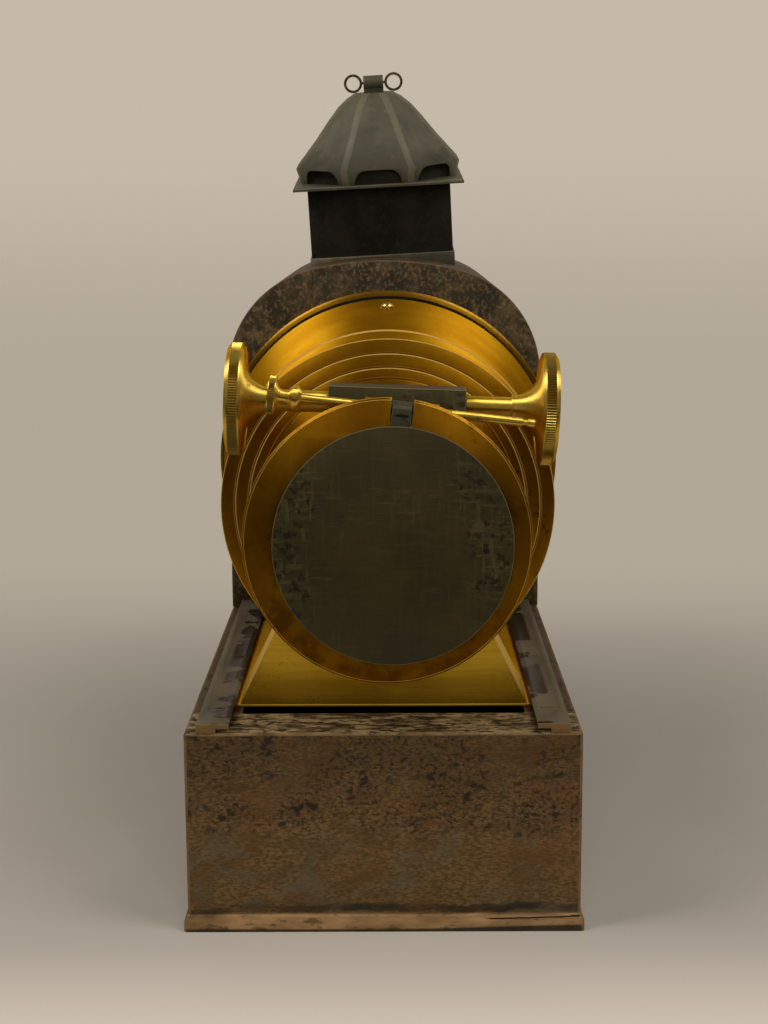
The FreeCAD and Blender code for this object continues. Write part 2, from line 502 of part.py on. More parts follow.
def carriage():
    """Jacket that holds the focusing tube, its pedestal, and the foot that slides under the runners."""
    bore = "jacket_r-jacket_t"
    front = JACKET_FLANGE + "-jacket_len"
    tube = turned([(bore, front), ("jacket_r", front), ("jacket_r", JACKET_FLANGE),
                   ("jacket_rear_r", JACKET_FLANGE), ("jacket_rear_r", JACKET_FLANGE + "+jacket_rear_len"),
                   ("jacket_rear_r-brass_t", JACKET_FLANGE + "+jacket_rear_len"),
                   ("jacket_rear_r-brass_t", JACKET_FLANGE + "+jacket_flange_t"),
                   (bore, JACKET_FLANGE + "+jacket_flange_t")])
    slot = block(half("slot_w"), (front + "-1", JACKET_FLANGE + "-slot_end"), ("jacket_r-10", "jacket_r+5"))
    on_axis("jacket", cut(tube, slot), LENS_ROLL)
    low = FOOT_Z + "+foot_t"
    length = "(%s)-(%s)" % (JACKET_FLANGE, FOOT_FRONT)
    low_w = "(%s-saddle_gap)" % RUNNER_IN
    top_w = "(%s-saddle_lean*saddle_h)" % low_w
    high = low + "+saddle_h"
    shell = padded([("-" + low_w, low), (low_w, low), (top_w, high), ("-" + top_w, high)], FOOT_FRONT, length)
    skin = "saddle_t*sqrt(1+saddle_lean^2)"
    low_in = "(%s-%s+saddle_lean)" % (low_w, skin)
    top_in = "(%s-%s-saddle_lean)" % (top_w, skin)
    below = low + "-1"
    above = high + "+1"
    hollow = padded([("-" + low_in, below), (low_in, below), (top_in, above), ("-" + top_in, above)],
                    FOOT_FRONT + "+saddle_t", length)
    seat = rod(("axis_x", FOOT_FRONT + "-1", AXIS), "+y", "jacket_r", length + "+2")
    node("saddle", cut(shell, hollow, seat))
    plate = block(half("2*(%s+groove_w-foot_side)" % RUNNER_IN), run(FOOT_FRONT, "foot_len"),
                  run(FOOT_Z, "foot_t"))
    opening = block(half("foot_cut_w"), (FOOT_FRONT + "+foot_neck", FOOT_FRONT + "+foot_len+1"),
                    (FOOT_Z + "-1", FOOT_Z + "+foot_t+1"))
    node("carriage_foot", cut(plate, opening))
    housing = block(about("box_x", "box_w"), about("pinion_y", "box_len"),
                    ("pinion_rise-box_deep", "pinion_rise+box_top"))
    chamber = block(half("chamber_w"), about("pinion_y", "box_len-2*box_wall"),
                    ("pinion_rise-box_deep-1", "pinion_rise+box_top-box_wall"))
    tunnel = rod(("-box_w", "pinion_y", "pinion_rise"), "+x", "shaft_r+run_gap", "2*box_w")
    below = rod(("0", "pinion_y-box_len", "0"), "+y", "jacket_r", "2*box_len")
    passage = block(half("slot_w"), about("pinion_y", "box_len+2"),
                    ("0", "pinion_rise-gear_r+tooth_up+slide_gap"))
    on_axis("pinion_box", cut(housing, chamber, tunnel, below, passage), LENS_ROLL)


def pinion():
    """Cross shaft with a small gear, and a milled knob with a trumpet hub at each end."""
    shaft = rod(("-knob_reach+1", "pinion_y", "pinion_rise"), "+x", "shaft_r", "2*knob_reach-2")
    gear = [shaft, rod(("-gear_w/2", "pinion_y", "pinion_rise"), "+x", "gear_r-tooth_down", "gear_w")]
    count = 15
    for step in range(count):
        tooth = block(half("gear_w"), half("tooth_w"), ("gear_r-tooth_down-0.4", "gear_r+tooth_up"))
        turn = FreeCAD.Rotation(V(1, 0, 0), 360.0 / count * step)
        gear.append(place(group(tooth), ("0", "pinion_y", "pinion_rise"), turn))
    on_axis("pinion_shaft", fuse(*gear), LENS_ROLL)
    rim = "knob_reach-knob_rim_w"
    flare = rim + "-knob_flare"
    for label, turn, way in (("knob_right", -90, "+"), ("knob_left", 90, "-")):
        near = "box_w/2%sbox_x+knob_end_gap" % way
        knob = turned([("shaft_r", near), ("knob_sleeve_r", near), ("knob_sleeve_r", flare),
                       ("knob_sleeve_r+0.6", flare), ("knob_sleeve_r+1", flare + "+1"),
                       ("knob_r*0.29", rim + "-knob_flare*0.48"), ("knob_r*0.42", rim + "-knob_flare*0.22"),
                       ("knob_r*0.6", rim + "-knob_flare*0.06"), ("knob_r*0.84", rim),
                       ("knob_r-knob_edge", rim), ("knob_r", rim + "+knob_edge"),
                       ("knob_r", "knob_reach-knob_edge"), ("knob_r-knob_edge", "knob_reach"),
                       ("knob_r*0.55", "knob_reach"), ("knob_r*0.5", "knob_reach-1"),
                       ("shaft_r", "knob_reach-1")])
        place(knob, ("0", "pinion_y", "pinion_rise"), FreeCAD.Rotation(V(0, 0, 1), turn))
        on_axis(label, group(knob), LENS_ROLL)


def focusing_tube():
    """Inner lens tube with its rack, two lens cells and lenses, and the hood flange notched for the clip."""
    rear = HOOD_BACK + "+focus_len"
    inner = "focus_r-focus_t"
    tube = turned([(inner, HOOD_BACK), ("focus_r", HOOD_BACK), ("focus_r", rear), (inner, rear)])
    on_axis("focus_tube", tube, LENS_ROLL)
    pitch = "gear_r*2*3.14159265/15"
    root = "pinion_rise-gear_r-tooth_down"
    bar = [block(half("rack_w"), run("rack_front", "rack_len"), ("(%s)-rack_deep" % root, root))]
    for step in range(-10, 11):
        bar.append(block(half("rack_w"), about("pinion_y+%d*%s" % (step, pitch), "tooth_w"),
                         ("(%s)-0.3" % root, "pinion_rise-gear_r+tooth_up")))
    below = rod(("0", "rack_front-1", "0"), "+y", "focus_r", "rack_len+2")
    on_axis("focus_rack", cut(fuse(*bar), below), LENS_ROLL)
    flange = turned([(inner, HOOD_FRONT), ("hood_r-hood_edge", HOOD_FRONT),
                     ("hood_r", HOOD_FRONT + "+hood_edge"), ("hood_r", HOOD_BACK), (inner, HOOD_BACK)])
    notch = block(half("notch_w"), (HOOD_FRONT + "-1", HOOD_BACK + "+1"), ("hood_r-notch_deep", "hood_r+5"))
    lugs = []
    for side in ("", "-"):
        lugs.append(block(about(side + "lug_x", "lug_w"), run(HOOD_BACK, "lug_len"),
                          ("rod_rise-lug_h*0.65", "rod_rise+lug_h*0.35")))
    bore = rod(("-lug_x-lug_w", ROD_Y, "rod_rise"), "+x", "rod_r+run_gap", "2*lug_x+2*lug_w")
    on_axis("hood_flange", cut(fuse(cut(flange, notch), *lugs), bore), SHUTTER_ROLL)
    front = HOOD_FRONT + "+front_cell_set"
    lens_r = "(%s-cell_wall)" % inner
    cells = (("front", front, "front_cell_len", 1), ("rear", rear + "-rear_cell_len", "rear_cell_len", -1))
    for label, start, length, way in cells:
        seat = "(%s)+1" % start if way > 0 else "(%s)+(%s)-1" % (start, length)
        lip = (start, seat) if way > 0 else (seat, "(%s)+(%s)" % (start, length))
        shell = rod(("0", start, "0"), "+y", inner, length)
        hole = rod(("0", "(%s)-1" % start, "0"), "+y", lens_r, "(%s)+2" % length)
        ring = rod(("0", lip[0], "0"), "+y", inner, "(%s)-(%s)" % (lip[1], lip[0]))
        eye = rod(("0", "(%s)-1" % start, "0"), "+y", lens_r + "-1.5", "(%s)+2" % length)
        on_axis("%s_lens_cell" % label, fuse(cut(shell, hole), cut(ring, eye)), LENS_ROLL)
        on_axis("%s_lens" % label, convex(lens_r, "lens_ball", "lens_t", seat, way), LENS_ROLL)


def shutter():
    """Black flashing disc hung by a steel clip on a cross rod, with a turned handle at the left end."""
    ends = "rod_right+neck_len"
    tip = ends + "+tip_len"
    cross = turned([("0", "-rod_left"), ("rod_r", "-rod_left"), ("rod_r", "rod_right"),
                    ("neck_r", "rod_right"), ("neck_r", ends), ("tip_r", ends), ("tip_r", tip), ("0", tip)])
    to_right = FreeCAD.Rotation(V(0, 0, 1), -90)
    on_axis("shutter_rod", group(place(cross, ("0", ROD_Y, "rod_rise"), to_right)), SHUTTER_ROLL)
    bead = "-rod_left"
    neck = bead + "-bead_w"
    grip = neck + "-grip_neck"
    far = grip + "-grip_w"
    handle = turned([("0", bead), ("rod_r+0.6", bead), ("bead_r", bead + "-bead_w*0.3"),
                     ("bead_r", bead + "-bead_w*0.7"), ("grip_waist+0.5", neck),
                     ("grip_waist", neck + "-grip_neck*0.35"), ("grip_waist+0.6", neck + "-grip_neck*0.7"),
                     ("grip_r*0.8", grip), ("grip_r", grip + "-0.5"), ("grip_r", far + "+0.5"),
                     ("grip_r-0.5", far), ("0", far)])
    on_axis("shutter_handle", group(place(handle, ("0", ROD_Y, "rod_rise"), to_right)), SHUTTER_ROLL)
    face = HOOD_FRONT + "-clip_gap"
    barrel = rod(("-clip_w/2", ROD_Y, "rod_rise"), "+x", "clip_r", "clip_w")
    arm = block(half("clip_w"), (face + "-clip_t", ROD_Y), about("rod_rise", "arm_t"))
    blade = block(half("clip_w"), (face + "-clip_t", face), ("rod_rise-clip_drop", "rod_rise+arm_t/2"))
    hole = rod(("-clip_w", ROD_Y, "rod_rise"), "+x", "rod_r", "2*clip_w")
    on_axis("shutter_clip", cut(fuse(barrel, arm, blade), hole), SHUTTER_ROLL)
    disc = rod(("disc_x", face + "-clip_t-disc_t", "-disc_drop"), "+y", "disc_r", "disc_t")
    on_axis("shutter_disc", group(disc), SHUTTER_ROLL)


def on_chimney(label, piece):
    """A piece drawn about the chimney's foot, leaning as the chimney leans."""
    return node(label, place(piece, CHIMNEY_FOOT, CHIMNEY_TURN))


def octagon(body, radius, height):
    """Eight corners on a level circle above the chimney's foot."""
    corners = []
    for step in range(8):
        way = FreeCAD.Rotation(V(0, 0, 1), 22.5 + 45 * step).multVec(V(1, 0, 0))
        corners.append(("(%s)*(%.9f)" % (radius, way.x), "(%s)*(%.9f)" % (radius, way.y)))
    sketch = outline(body, corners, "XY_Plane")
    sketch.setExpression("AttachmentOffset.Base.z", refs(height))
    return sketch


def lofted(*sections):
    """A flat-sided body through several octagons; each section is a radius and a height."""
    body = doc.addObject("PartDesign::Body", "lofted")
    loft = body.newObject("PartDesign::AdditiveLoft", "loft")
    rings = [octagon(body, radius, height) for radius, height in sections]
    loft.Profile = rings[0]
    loft.Sections = rings[1:]
    loft.Ruled = True
    body.Tip = loft
    return body


def chimney():
    """Fixed flue stub in its seat, and the tube that slides on it with its plate and vented cowl."""
    stub_w = "tube_w-2*tube_t-2*stub_gap"
    stub_deep = "tube_deep-2*tube_t-2*stub_gap"
    stub = block(half(stub_w), half(stub_deep), ("-stub_down", "stub_up"))
    bore = block(half(stub_w + "-2*tube_t"), half(stub_deep + "-2*tube_t"), ("-stub_down-1", "stub_up+1"))
    on_chimney("flue_stub", cut(stub, bore))
    seat = cut(block(half("tube_w+2*seat_out"), half("tube_deep+2*seat_out"), ("-seat_down", "0")),
               block(half(stub_w), half(stub_deep), ("-seat_down-1", "1")))
    place(seat, CHIMNEY_FOOT, CHIMNEY_TURN)
    node("chimney_seat", cut(seat, arch("", "deck_z", "house_front", "base_front+base_len-house_front")))
    tube = block(half("tube_w"), half("tube_deep"), ("0", "tube_h"))
    inside = block(half("tube_w-2*tube_t"), half("tube_deep-2*tube_t"), ("-1", "tube_h+1"))
    on_chimney("chimney_tube", cut(tube, inside))
    plate = block(half("tube_w+2*plate_out"), half("tube_deep+2*plate_fore"), run("tube_h", "plate_t"))
    hole = block(half("plate_hole"), half("tube_deep-2*plate_lip"), ("tube_h-1", "tube_h+plate_t+1"))
    on_chimney("cowl_plate", cut(plate, hole))
    cowl()


def cowl():
    """Eight-sided sheet cap standing on eight turned-in feet, with a rolled strap and wire at its top."""
    low = "tube_h+plate_t"
    rim = low + "+cowl_rim_h"
    top = low + "+cowl_h"
    shoulder = low + "+cowl_shoulder_h"
    skin = "cowl_t*sqrt(1+((cowl_rim_r-cowl_shoulder_r)/(cowl_shoulder_h-cowl_rim_h))^2)"
    crown_fall = "(cowl_shoulder_r-cowl_top_r)/(cowl_h-cowl_shoulder_h)"
    crown_skin = "cowl_t*sqrt(1+(%s)^2)" % crown_fall
    outside = lofted(("cowl_foot_r", low), ("cowl_rim_r", rim), ("cowl_shoulder_r", shoulder),
                     ("cowl_top_r", top))
    hollow = lofted(("cowl_foot_r-" + skin, low + "-1"), ("cowl_rim_r-" + skin, rim),
                    ("cowl_shoulder_r-" + crown_skin, shoulder),
                    ("cowl_top_r-%s+cowl_t*%s" % (crown_skin, crown_fall), top + "-cowl_t"))
    vents = []
    for turn in (0, 45, 90, 135):
        vent = block(half(FAR), half("vent_w"), (low + "-1", rim))
        vents.append(place(group(vent), ("0", "0", "0"), FreeCAD.Rotation(V(0, 0, 1), turn)))
    on_chimney("cowl", cut(outside, hollow, *vents))
    middle = top + "+strap_up+strap_r"
    roll = fuse(rod(("-strap_w/2", "0", middle), "+x", "strap_r", "strap_w"),
                block(half("strap_w"), half("strap_r*1.2"), (top, middle)))
    on_chimney("cap_strap", cut(roll, rod(("-strap_w", "0", middle), "+x", "wire_r", "2*strap_w")))
    ends = "strap_w/2+loop_gap+wire_r"
    wire = [rod(("-(%s)" % ends, "0", middle), "+x", "wire_r", "2*(%s)" % ends)]
    for side in ("", "-"):
        at = (side + "(%s+loop_r)" % ends, "0", middle)
        wire.append(solid("Torus", at, "+y", Radius1="loop_r", Radius2="wire_r"))
    on_chimney("cap_wire", fuse(*wire))


def lamp():
    """Paraffin lamp on a flat tank, carried out through the doorway with its rear shield."""
    low = "deck_z+lamp_gap"
    rear = BACK + "+lamp_gap"
    slots = []
    tubes = []
    wicks = []
    for side in ("", "-"):
        at = side + "wick_x"
        long = run("wick_front", "wick_len")
        tall = (low + "+wick_low", GALLERY_TOP + "+wick_tube_up")
        around = ("wick_front-wick_gap", "wick_front+wick_len+wick_gap")
        slot_z = (low + "+tank_h-5", GALLERY_TOP + "+1")
        slots.append(block(about(at, "wick_tube_w+2*wick_gap"), around, slot_z))
        shell = block(about(at, "wick_tube_w"), long, tall)
        bore_y = ("wick_front+wick_tube_t", "wick_front+wick_len-wick_tube_t")
        bore = block(about(at, "wick_tube_w-2*wick_tube_t"), bore_y, (tall[0] + "-1", tall[1] + "+1"))
        tubes.append(cut(shell, bore))
        wicks.append(block(about(at, "wick_tube_w-2*wick_tube_t"), bore_y, (tall[0], tall[1] + "+wick_up")))
    holes = []
    for side in ("", "-"):
        at = (side + "winder_x", "winder_front", TANK_TOP + "+winder_rise")
        holes.append(rod(at, "+y", "winder_r+slide_gap", FAR))
    tank = block(half("tank_w"), ("tank_front", rear), (low, TANK_TOP))
    void = block(half("tank_w-2*tank_t"), ("tank_front+tank_t", rear + "-tank_t"),
                 (low + "+tank_t", TANK_TOP + "-tank_t"))
    node("lamp_tank", cut(tank, void, *slots))
    node("wick_tubes", group(*tubes))
    node("wicks", group(*wicks))
    cover = block(half("gallery_w"), run("gallery_front", "gallery_len"), (TANK_TOP, GALLERY_TOP))
    under = block(half("gallery_w-2*gallery_t"),
                  ("gallery_front+gallery_t", "gallery_front+gallery_len-gallery_t"),
                  (TANK_TOP + "-1", GALLERY_TOP + "-gallery_t"))
    node("burner_gallery", cut(cover, under, *slots, *holes))
    shield = block(half("shield_w"), run(rear, "shield_t"), run("deck_z+shield_lift", "shield_h"))
    node("lamp_shield", cut(shield, *holes))
    cap = turned([("0", "0"), ("filler_r*0.7", "0"), ("filler_r*0.7", "filler_h*0.35"),
                  ("filler_r", "filler_h*0.4"), ("filler_r", "filler_h*0.9"), ("filler_r*0.85", "filler_h"),
                  ("0", "filler_h")])
    filler_y = "(gallery_front+gallery_len+%s)/2" % BACK
    node("filler_cap", place(cap, ("filler_x", filler_y, TANK_TOP), FreeCAD.Rotation(V(1, 0, 0), 90)))
    for label, side in (("wick_winder_right", ""), ("wick_winder_left", "-")):
        far = rear + "+shield_t+winder_out"
        at = (side + "winder_x", "winder_front", TANK_TOP + "+winder_rise")
        pieces = [rod(at, "+y", "winder_r", "%s-winder_front" % far)]
        for step in (0, 1):
            wheel_y = "winder_front+3+%d*winder_wheel_pitch" % step
            pieces.append(rod((at[0], wheel_y, at[2]), "+y", "winder_wheel_r", "winder_wheel_w"))
        pieces.append(rod((at[0], far + "-winder_knob_w", at[2]), "+y", "winder_knob_r", "winder_knob_w"))
        node(label, fuse(*pieces))
    pane_z = (GALLERY_TOP + "+pane_low", GALLERY_TOP + "+pane_low+pane_h")
    walls = block(half("flue_w"), run("flue_front", "flue_len"), run(GALLERY_TOP, "flue_h"))
    bore = block(half("flue_w-2*flue_t"), ("flue_front+flue_t", "flue_front+flue_len-flue_t"),
                 (GALLERY_TOP + "-1", GALLERY_TOP + "+flue_h+1"))
    eyes = block(half("pane_w-2*pane_lap"), ("flue_front-1", "flue_front+flue_len+1"),
                 ("%s+pane_lap" % pane_z[0], "%s-pane_lap" % pane_z[1]))
    node("flue", cut(walls, bore, eyes))
    panes = []
    for near in ("flue_front+flue_t", "flue_front+flue_len-flue_t-pane_t"):
        panes.append(block(half("pane_w"), run(near, "pane_t"), pane_z))
    node("flue_panes", group(*panes))
    back = "flue_front+flue_len+mirror_gap"
    dish = turned([("0", back + "-mirror_t"), ("mirror_r*0.5", back + "-mirror_t-mirror_deep*0.26"),
                   ("mirror_r", back + "-mirror_t-mirror_deep"), ("mirror_r+0.6", back + "-mirror_deep"),
                   ("mirror_r*0.5", back + "-mirror_deep*0.26"), ("mirror_stem_r", back),
                   ("mirror_stem_r", rear), ("0", rear)])
    on_axis("reflector", dish)


base()
runners()
lamphouse()
side_door()
slide_stage()
condenser()
drum()
draw("draw_outer", "draw_a_r", "draw_b_r", "draw_a_len", 1)
draw("draw_inner", "draw_b_r", "jacket_rear_r", "draw_b_len", 2)
carriage()
pinion()
focusing_tube()
shutter()
chimney()
lamp()
doc.recompute()

for item in doc.Objects:
    if "Invalid" in item.State or "Error" in item.State:
        raise RuntimeError("%s is %s" % (item.Label, item.State))
os.makedirs("parts", exist_ok=True)
for piece in NODES:
    if piece.Shape.isNull() or not piece.Shape.isValid() or not piece.Shape.Solids:
        raise RuntimeError("%s has no sound solid" % piece.Label)
    piece.Shape.exportStep("parts/%s.step" % piece.Label)
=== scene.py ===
import math

import bmesh
import bpy
from mathutils import Matrix, Vector


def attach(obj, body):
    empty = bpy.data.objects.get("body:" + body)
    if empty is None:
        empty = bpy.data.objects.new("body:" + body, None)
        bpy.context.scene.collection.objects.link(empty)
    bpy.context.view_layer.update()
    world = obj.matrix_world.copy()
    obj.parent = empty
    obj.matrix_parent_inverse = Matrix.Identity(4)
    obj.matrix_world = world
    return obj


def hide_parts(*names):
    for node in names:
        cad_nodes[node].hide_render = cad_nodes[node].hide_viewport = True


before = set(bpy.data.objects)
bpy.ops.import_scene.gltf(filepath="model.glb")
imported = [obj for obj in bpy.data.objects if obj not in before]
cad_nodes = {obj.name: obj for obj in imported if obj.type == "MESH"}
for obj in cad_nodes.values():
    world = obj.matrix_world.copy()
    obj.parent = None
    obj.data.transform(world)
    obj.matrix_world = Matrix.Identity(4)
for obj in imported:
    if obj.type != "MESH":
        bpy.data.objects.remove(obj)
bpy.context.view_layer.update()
scene = bpy.context.scene
scene.view_settings.view_transform = "Standard"


# Studio. The camera stands in front of the lens and a little above it; its lens is set for a 768 x 1024
# picture, whose size is not set here.
# A pale paper sweep runs back from the lantern and up into the backdrop, with an apron of paper before it;
# the paper is painted darker round and behind the lantern as shade.
# Two soft boxes hang above the lens and two weaker lamps stand in front, in a tent of dark cloth.
focal_px = 1700
photo_tall_px = 1024
sensor_mm = 36
camera_data = bpy.data.cameras.new("photo_camera")
camera_data.sensor_width = sensor_mm
camera_data.lens = sensor_mm * focal_px / photo_tall_px
camera = bpy.data.objects.new("photo_camera", camera_data)
scene.collection.objects.link(camera)
scene.camera = camera
camera.location = (0.0037, -0.8113, 0.2733)
camera_pitch = 10.27
camera_yaw = 0.28
camera_roll = -0.29
camera.rotation_euler = (
    Matrix.Rotation(math.radians(camera_yaw), 3, "Z")
    @ Matrix.Rotation(math.radians(90 - camera_pitch), 3, "X")
    @ Matrix.Rotation(math.radians(camera_roll), 3, "Z")
).to_euler()

paper_high = (0.560, 0.487, 0.398)
paper_far = (0.445, 0.390, 0.314)
paper_painted_shade = (0.370, 0.334, 0.292)
paper_near = (0.585, 0.520, 0.455)


def seen_rays(tree):
    """One for a ray that the camera sends, straight or by a mirror or a lens, and nought for the rest."""
    rays = tree.nodes.new("ShaderNodeLightPath")
    share = rays.outputs["Is Camera Ray"]
    for kind in ("Is Glossy Ray", "Is Transmission Ray"):
        either = tree.nodes.new("ShaderNodeMath")
        either.operation = "MAXIMUM"
        tree.links.new(share, either.inputs[0])
        tree.links.new(rays.outputs[kind], either.inputs[1])
        share = either.outputs[0]
    return share


def blend(tree, value, low, high, at_low, at_high):
    """A soft change from one colour to another as a value goes from low to high; at_low may be a socket."""
    step = tree.nodes.new("ShaderNodeMapRange")
    step.interpolation_type = "SMOOTHSTEP"
    step.inputs["From Min"].default_value = low
    step.inputs["From Max"].default_value = high
    tree.links.new(value, step.inputs["Value"])
    mix = tree.nodes.new("ShaderNodeMix")
    mix.data_type = "RGBA"
    tree.links.new(step.outputs["Result"], mix.inputs[0])
    for socket, colour in ((mix.inputs[6], at_low), (mix.inputs[7], at_high)):
        if isinstance(colour, tuple):
            socket.default_value = (*colour, 1)
        else:
            tree.links.new(colour, socket)
    return mix.outputs[2]


world = bpy.data.worlds.new("paper_backdrop")
world.use_nodes = True
scene.world = world
sky = world.node_tree
sky_split = sky.nodes.new("ShaderNodeSeparateXYZ")
sky.links.new(sky.nodes.new("ShaderNodeTexCoord").outputs["Generated"], sky_split.inputs["Vector"])
sky_lamp = sky.nodes["Background"]
sky_lamp.inputs["Color"].default_value = (0.40, 0.385, 0.36, 1)
sky_lamp.inputs["Strength"].default_value = 0.5
sky_sheet = sky.nodes.new("ShaderNodeBackground")
sky_tone = blend(sky, sky_split.outputs["Z"], -0.09, 0.04, paper_far, paper_high)
sky.links.new(sky_tone, sky_sheet.inputs["Color"])
sky_choice = sky.nodes.new("ShaderNodeMixShader")
sky.links.new(seen_rays(sky), sky_choice.inputs[0])
sky.links.new(sky_lamp.outputs[0], sky_choice.inputs[1])
sky.links.new(sky_sheet.outputs[0], sky_choice.inputs[2])
sky.links.new(sky_choice.outputs[0], sky.nodes["World Output"].inputs["Surface"])

paper = bpy.data.materials.new("paper_floor")
paper.use_nodes = True
sheet = paper.node_tree
sheet_split = sheet.nodes.new("ShaderNodeSeparateXYZ")
sheet.links.new(sheet.nodes.new("ShaderNodeTexCoord").outputs["Object"], sheet_split.inputs["Vector"])
sheet_matte = sheet.nodes["Principled BSDF"]
# Painted shade: the floor is coloured darker round the lantern and behind it than in front.
sheet_tone = blend(sheet, sheet_split.outputs["Y"], -0.305, -0.200, paper_near, paper_painted_shade)
sheet.links.new(sheet_tone, sheet_matte.inputs["Base Color"])
sheet_matte.inputs["Roughness"].default_value = 0.9
sheet_matte.inputs["Specular IOR Level"].default_value = 0.1
sheet_glow = sheet.nodes.new("ShaderNodeEmission")
sheet_glow.inputs["Color"].default_value = (*paper_far, 1)
sheet_fade = sheet.nodes.new("ShaderNodeMapRange")
sheet_fade.interpolation_type = "SMOOTHSTEP"
sheet_fade.inputs["From Min"].default_value = -0.02
sheet_fade.inputs["From Max"].default_value = 0.50
sheet.links.new(sheet_split.outputs["Y"], sheet_fade.inputs["Value"])
sheet_share = sheet.nodes.new("ShaderNodeMath")
sheet_share.operation = "MULTIPLY"
sheet.links.new(sheet_fade.outputs["Result"], sheet_share.inputs[0])
sheet.links.new(seen_rays(sheet), sheet_share.inputs[1])
sheet_choice = sheet.nodes.new("ShaderNodeMixShader")
sheet.links.new(sheet_share.outputs[0], sheet_choice.inputs[0])
sheet.links.new(sheet_matte.outputs[0], sheet_choice.inputs[1])
sheet.links.new(sheet_glow.outputs[0], sheet_choice.inputs[2])
sheet.links.new(sheet_choice.outputs[0], sheet.nodes["Material Output"].inputs["Surface"])

dark_cloth = bpy.data.materials.new("dark_cloth")
dark_cloth.use_nodes = True
cloth_matte = dark_cloth.node_tree.nodes["Principled BSDF"]
cloth_matte.inputs["Base Color"].default_value = (0.06, 0.052, 0.045, 1)
cloth_matte.inputs["Roughness"].default_value = 1.0
for panel_name, panel_finish, panel_size, panel_at, panel_turn in (
    ("paper_floor", paper, (4.4, 2.65), (0, 0.875, 0), (0, 0)),
    ("paper_apron", paper, (4.4, 2.0), (0, -1.45, 0), (0, 0)),
    ("cloth_floor", dark_cloth, (4.4, 2.2), (0, -1.55, -0.002), (0, 0)),
    ("cloth_front", dark_cloth, (4.4, 2.4), (0, -2.6, 1.2), (90, 0)),
    ("cloth_left", dark_cloth, (2.8, 2.4), (-2.1, -1.2, 1.2), (90, 90)),
    ("cloth_right", dark_cloth, (2.8, 2.4), (2.1, -1.2, 1.2), (90, 90)),
    ("cloth_top", dark_cloth, (4.4, 3.4), (0, -0.9, 2.4), (0, 0)),
):
    panel_shape = bmesh.new()
    bmesh.ops.create_grid(panel_shape, x_segments=1, y_segments=1, size=0.5)
    bmesh.ops.scale(panel_shape, vec=(*panel_size, 1), verts=panel_shape.verts)
    panel_pose = Matrix.Translation(panel_at) @ Matrix.Rotation(math.radians(panel_turn[1]), 4, "Z")
    panel_pose = panel_pose @ Matrix.Rotation(math.radians(panel_turn[0]), 4, "X")
    bmesh.ops.transform(panel_shape, matrix=panel_pose, verts=panel_shape.verts)
    panel_mesh = bpy.data.meshes.new(panel_name)
    panel_shape.to_mesh(panel_mesh)
    panel_shape.free()
    panel_mesh.materials.append(panel_finish)
    panel = bpy.data.objects.new(panel_name, panel_mesh)
    scene.collection.objects.link(panel)
    panel.visible_camera = panel_finish is paper
    panel.visible_glossy = panel_name != "paper_apron"
    panel.visible_diffuse = panel_name != "paper_apron"

lamp_aim = Vector((0, 0, 0.15))
for lamp_name, lamp_at, lamp_wide, lamp_watts in (
    ("left_softbox", (-0.80, -0.35, 1.25), 0.60, 11),
    ("right_softbox", (0.75, -0.45, 1.30), 0.75, 11),
    ("front_fill", (0.1, -1.6, 0.80), 0.9, 10.5),
    ("front_sheen", (0.0, -1.5, 0.75), 1.4, 3.2),
):
    lamp_data = bpy.data.lights.new(lamp_name, "AREA")
    lamp_data.size = lamp_wide
    lamp_data.energy = lamp_watts
    lamp_data.color = (1.0, 0.97, 0.92)
    lamp_light = bpy.data.objects.new(lamp_name, lamp_data)
    lamp_light.location = lamp_at
    lamp_light.rotation_euler = (lamp_aim - Vector(lamp_at)).to_track_quat("-Z", "Y").to_euler()
    lamp_light.visible_glossy = lamp_name != "front_fill"
    scene.collection.objects.link(lamp_light)


# Base box. Sheet iron folded into an open box, japanned brown and worn through to black and rust,
# with its foot turned out into a rim; a flat plate closes it below and the deck is open down its middle.
# The rim's front is cracked at the right, where it is bent up a little; a shadow is painted along the rim's
# lower edge, rising toward the front right.
base_half_wide = 0.075
base_front = -0.200
base_back = 0.190
deck_top = 0.0785
rim_top = 0.0066
rim_out = 0.0014
sheet_thick = 0.0015
base_edge = 0.0011
floor_margin = 0.0016
channel_half_wide = 0.055
channel_front = -0.175
house_front = 0.0035
japan_brown = (0.060, 0.033, 0.010)
japan_pale = (0.126, 0.076, 0.029)
japan_red = (0.108, 0.047, 0.017)
japan_black = (0.010, 0.010, 0.007)
japan_slate = (0.070, 0.066, 0.045)
lip_tan = (0.225, 0.155, 0.072)
rim_rust = (0.300, 0.172, 0.077)
edge_rust = (0.150, 0.088, 0.036)


def new_finish(name):
    """A material, its node tree, its surface shader and the piece's own coordinates."""
    finish = bpy.data.materials.new(name)
    finish.use_nodes = True
    tree = finish.node_tree
    place = tree.nodes.new("ShaderNodeTexCoord").outputs["Object"]
    return finish, tree, tree.nodes["Principled BSDF"], place


def mottle(tree, place, spots_per_m, stretch=(1, 1, 1), shift=0.0, detail=5.0):
    """Cloudy noise with about so many blotches to the metre, stretched along the piece's axes."""
    mapping = tree.nodes.new("ShaderNodeMapping")
    mapping.inputs["Scale"].default_value = stretch
    mapping.inputs["Location"].default_value = (shift, shift, shift)
    tree.links.new(place, mapping.inputs["Vector"])
    cloud = tree.nodes.new("ShaderNodeTexNoise")
    cloud.inputs["Scale"].default_value = spots_per_m
    cloud.inputs["Detail"].default_value = detail
    cloud.inputs["Roughness"].default_value = 0.6
    tree.links.new(mapping.outputs["Vector"], cloud.inputs["Vector"])
    return cloud.outputs["Fac"]


def ease(tree, value, low, high, at_low=0.0, at_high=1.0):
    """A soft step from one level to another as a value rises from low to high."""
    step = tree.nodes.new("ShaderNodeMapRange")
    step.interpolation_type = "SMOOTHSTEP"
    for name, number in (("From Min", low), ("From Max", high), ("To Min", at_low), ("To Max", at_high)):
        step.inputs[name].default_value = number
    tree.links.new(value, step.inputs["Value"])
    return step.outputs["Result"]


